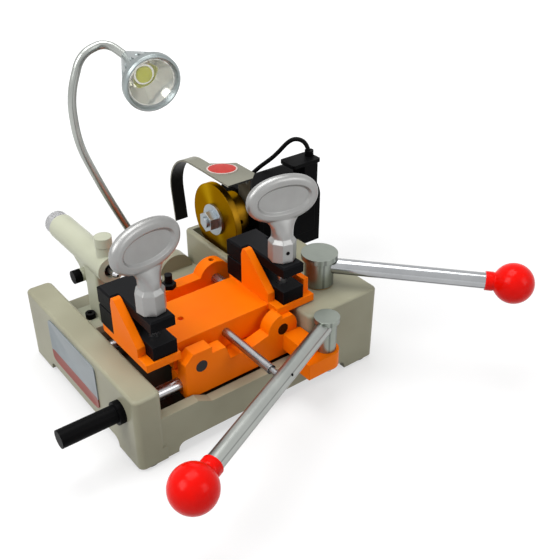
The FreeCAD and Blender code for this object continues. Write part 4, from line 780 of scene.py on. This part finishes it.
# Cutter wheel and its hub: steel with a gold-coloured plating, turned about the spindle, with a painted
# highlight streaked across it.
# The nut and washer clamp them on the spindle's end.
PAINTED_HIGHLIGHT_TURN = math.radians(65.0)
PAINTED_HIGHLIGHT_POWER = 22.0
PAINTED_HIGHLIGHT_HEART = 0.001
LATHE_RINGS = 3000.0
LATHE_DRIFT = 200.0
gold = Finish("gold_plate")
cutter_low, cutter_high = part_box("cutter")
at_x, at_y, at_z = gold.along()
from_y = at_y - (cutter_low[1] + cutter_high[1]) / 2
from_z = at_z - (cutter_low[2] + cutter_high[2]) / 2
radius = (from_y * from_y + from_z * from_z).math("SQRT")
rings = gold.add("ShaderNodeCombineXYZ", {}, [radius * LATHE_RINGS, at_x * LATHE_DRIFT, 0.0])
lathe = gold.add("ShaderNodeTexNoise", {}, {"Vector": rings, "Scale": 1.0, "Detail": 2.0}, "Fac")
# Painted highlight: a bright two-sided streak across the wheel at a fixed angle, painted into the colour.
along_painted_highlight = from_y * math.cos(PAINTED_HIGHLIGHT_TURN) + from_z * math.sin(PAINTED_HIGHLIGHT_TURN)
sheen = along_painted_highlight.math("DIVIDE", radius.math("MAXIMUM", PAINTED_HIGHLIGHT_HEART))
sheen = sheen.math("ABSOLUTE").math("POWER", PAINTED_HIGHLIGHT_POWER)
rounded, _ = gold.soft_edges(0.0008)
olive = gold.blend(lathe, (0.13, 0.062, 0.003), (0.28, 0.145, 0.009))
gold.set(
    Base_Color=gold.blend(sheen * 0.55, olive, (0.5, 0.32, 0.03)),
    Metallic=1.0,
    Specular_Tint=(0.9, 0.62, 0.20, 1.0),
    Roughness=lathe * 0.16 + 0.26,
    Normal=gold.bump(lathe, 0.00006, 0.6, rounded),
)
dress(gold, "cutter", "cutter_flange")


# Motor: a box with round shoulders, its shell, end bells and foot in satin black paint.
# The foot is screwed to the base, and the windings show only through gaps.
motor_black = cast_paint(
    "motor_black",
    (0.001, 0.001, 0.001),
    (0.004, 0.004, 0.0045),
    gloss=0.5,
    worn=(0.02, 0.02, 0.02),
    sheen=0.025,
)
winding = drawn_steel("winding", (0.12, 0.05, 0.02), (0.3, 0.14, 0.06), (0.1, 1.0, 1.0), 0.5)
dress(motor_black, "motor_shell", "motor_left_bell", "motor_right_bell", "motor_foot")
dress(winding, "stator")


# Black mouldings: terminal box, glands, end sleeve, side knob, switch and inlet.
# They are plastic with a leather grain, screwed or pressed onto the machine.
black_plastic = Finish("black_moulding")
leather = black_plastic.noise(900.0, 3.0)
rounded, _ = black_plastic.soft_edges(0.0008)
black_plastic.set(
    Base_Color=black_plastic.blend(leather, (0.001, 0.001, 0.001), (0.004, 0.004, 0.0045)),
    Specular_IOR_Level=0.035,
    Roughness=leather * 0.2 + 0.34,
    Normal=black_plastic.bump(leather, 0.0001, 0.4, rounded),
)
dress(black_plastic, "terminal_box", "lead_glands", "end_sleeve", "side_knob")
dress(black_plastic, "switch_housing", "mains_inlet", "power_rocker")


# Guard: sheet steel, bent and painted grey; its faces turned down and forward, the inner face among them,
# are darkened as painted shade.
# Its tab is screwed to the motor's left end bell.
GUARD_SHADED_FACING = (0.0, -0.8, -0.6)
guard_grey = cast_paint(
    "guard_grey", srgb(120, 119, 106), srgb(135, 134, 120), peel=0.00006, gloss=0.36, edge=0.0006
)
painted_shade_facing = guard_grey.turned(GUARD_SHADED_FACING).ramp(0.3, 0.5)
# Painted shade: faces turned down and forward are painted near-black.
guard_grey.set(Base_Color=guard_grey.blend(painted_shade_facing, guard_grey.painted(), (0.008, 0.008, 0.008)))
dress(guard_grey, "guard")


# Badge: a domed oval of red enamel in a pale rim, fixed to the guard's top.
# Its field is bare.
BADGE_PLACE = (0.0742, 0.0647, 0.1710)
BADGE_HALF = (0.0165, 0.0135)
BADGE_RIM = 0.0012
BADGE_RIM_HIGH = 0.00096
BADGE_FIELD_LOW = 0.0006
BADGE_FIELD_EDGE = 0.00084
BADGE_FIELD_DOME = 0.0006
BADGE_TURN = math.radians(-38.0)
badge_along = (math.cos(BADGE_TURN), math.sin(BADGE_TURN), 0.0)
badge_up = (-math.sin(BADGE_TURN), math.cos(BADGE_TURN), 0.0)
badge_pale = Finish("badge_pale")
badge_pale.set(
    Base_Color=badge_pale.blend(badge_pale.noise(200.0), (0.52, 0.42, 0.38), (0.62, 0.52, 0.48)),
    Roughness=0.35,
)
badge_red = Finish("badge_red")
badge_red.set(
    Base_Color=badge_red.blend(badge_red.noise(150.0), srgb(168, 30, 22), srgb(190, 48, 36)),
    Roughness=0.35,
    Specular_IOR_Level=0.2,
)
badge_rows = [
    (0.0, 0.0, 0.0),
    (*BADGE_HALF, 0.0),
    (*BADGE_HALF, BADGE_RIM_HIGH),
    (0.0, 0.0, BADGE_RIM_HIGH),
]
field_half = [size - BADGE_RIM for size in BADGE_HALF]
field_bend = np.linspace(0.0, np.pi / 2, 8)
field_high = BADGE_FIELD_EDGE + BADGE_FIELD_DOME * np.sin(field_bend)
field_rows = [
    (0.0, 0.0, BADGE_FIELD_LOW),
    (*field_half, BADGE_FIELD_LOW),
    *zip(field_half[0] * np.cos(field_bend), field_half[1] * np.cos(field_bend), field_high),
]
badge_parts = (("badge_rim", badge_pale, badge_rows), ("badge_field", badge_red, field_rows))
for badge_name, finish, rows in badge_parts:
    grid = pressed(rows, ROUND, BADGE_PLACE, badge_along, badge_up, UP)
    skin(badge_name, "base", finish, [grid])


# Lamp head: an aluminium cone on the gooseneck's end, turned, with cooling slots sawn behind its rim.
# Its mouth is hollow for the bowl and the lens.
HEAD_START = (-0.0195, 0.0720, 0.3050)
HEAD_AXIS = np.array((-0.12, -1.0, -0.15)) / np.linalg.norm((-0.12, -1.0, -0.15))
HEAD_LENGTH = 0.0580
HEAD_RADIUS = 0.0265
HEAD_RIM = 0.0090
HEAD_SKIN = 0.0025
HEAD_TUCK = 0.0010
HEAD_NECK_RADIUS = 0.0065
HEAD_ROWS = 60
RIM_BACK = ((0.0006, 0.0004), (0.0016, 0.0))
RIM_FRONT = ((0.0020, 0.0), (0.0, 0.0014))
LIGHT_DEPTH = 0.0220
LIGHT_RADIUS = 0.0080
FINS = 20
FIN_DEPTH = 0.0035
FIN_START = 0.72
FIN_EDGE = 0.2
lamp_silver = drawn_steel("lamp_silver", (0.21, 0.245, 0.245), (0.35, 0.385, 0.385), (1.0, 0.1, 1.0), 0.32)
head_columns = 12 * FINS
head_turn = np.linspace(0.0, 2 * np.pi, head_columns, endpoint=False)
ring_back = HEAD_LENGTH - HEAD_RIM
body_share = np.linspace(0.0, 1.0, HEAD_ROWS)
body_along = ring_back * body_share
body_radius = HEAD_NECK_RADIUS + (HEAD_RADIUS - HEAD_TUCK - HEAD_NECK_RADIUS) * body_share
head_profile = [
    (0.0, 0.0),
    *zip(body_along, body_radius),
    *[(ring_back + along, HEAD_RADIUS - drop) for along, drop in RIM_BACK],
    *[(HEAD_LENGTH - along, HEAD_RADIUS - drop) for along, drop in RIM_FRONT],
    (HEAD_LENGTH, HEAD_RADIUS - HEAD_SKIN),
    (HEAD_LENGTH - LIGHT_DEPTH, LIGHT_RADIUS + HEAD_SKIN),
    (HEAD_LENGTH - LIGHT_DEPTH, 0.0),
]
slots = np.zeros((len(head_profile), head_columns))
in_fins = np.clip((body_share - FIN_START) / (1.0 - FIN_START), 0.0, 1.0) ** 0.5
slots[1 : 1 + HEAD_ROWS] = -FIN_DEPTH * in_fins[:, None] * (np.cos(FINS * head_turn) > FIN_EDGE)
head_grid = revolved(head_profile, HEAD_START, HEAD_AXIS, head_columns, slots)
skin("lamp_shell", "base", lamp_silver, [head_grid], ["lamp_head"])


# Light chip, bowl and lens: a round-cornered plate of yellow phosphor on the floor of a mirror bowl.
# A clear lens is pressed into the head's mouth over them.
CHIP_HALF = 0.0072
CHIP_HIGH = 0.0022
CHIP_SHOULDER = (0.85, 0.7)
CHIP_SEAT = 0.0010
CHIP_POWER = 2.4
chip_yellow = Finish("chip_yellow")
chip_yellow.set(
    Base_Color=chip_yellow.blend(chip_yellow.noise(600.0), srgb(176, 182, 0), srgb(196, 198, 16)),
    Roughness=0.5,
    # Painted glow: a faint yellow emission that only brightens the chip's colour.
    Emission_Color=(0.75, 0.72, 0.04, 1.0),
    Emission_Strength=0.15,
)
chip_place = np.array(HEAD_START) + HEAD_AXIS * (HEAD_LENGTH - LIGHT_DEPTH + CHIP_SEAT)
chip_side = np.cross(HEAD_AXIS, UP)
chip_side /= np.linalg.norm(chip_side)
chip_top = CHIP_HALF * CHIP_SHOULDER[0]
chip_rows = [
    (0.0, 0.0, 0.0),
    (CHIP_HALF, CHIP_HALF, 0.0),
    (CHIP_HALF, CHIP_HALF, CHIP_HIGH * CHIP_SHOULDER[1]),
    (chip_top, chip_top, CHIP_HIGH),
    (0.0, 0.0, CHIP_HIGH),
]
chip_up = np.cross(chip_side, HEAD_AXIS)
chip_grid = pressed(chip_rows, CHIP_POWER, chip_place, chip_side, chip_up, HEAD_AXIS, columns=64)
skin("light_chip", "base", chip_yellow, [chip_grid])
mirror = Finish("mirror_bowl")
ripple = mirror.noise(180.0, 2.0)
mirror.set(
    Base_Color=mirror.blend(ripple, (0.60, 0.60, 0.54), (0.74, 0.74, 0.68)),
    Metallic=1.0,
    Roughness=ripple * 0.08 + 0.1,
)
dress(mirror, "reflector")
lens_clear = Finish("lens_clear")
lens_clear.set(Base_Color=(0.95, 0.97, 0.97, 1.0), Roughness=0.03, Alpha=0.10, IOR=1.45)
dress(lens_clear, "lamp_lens")
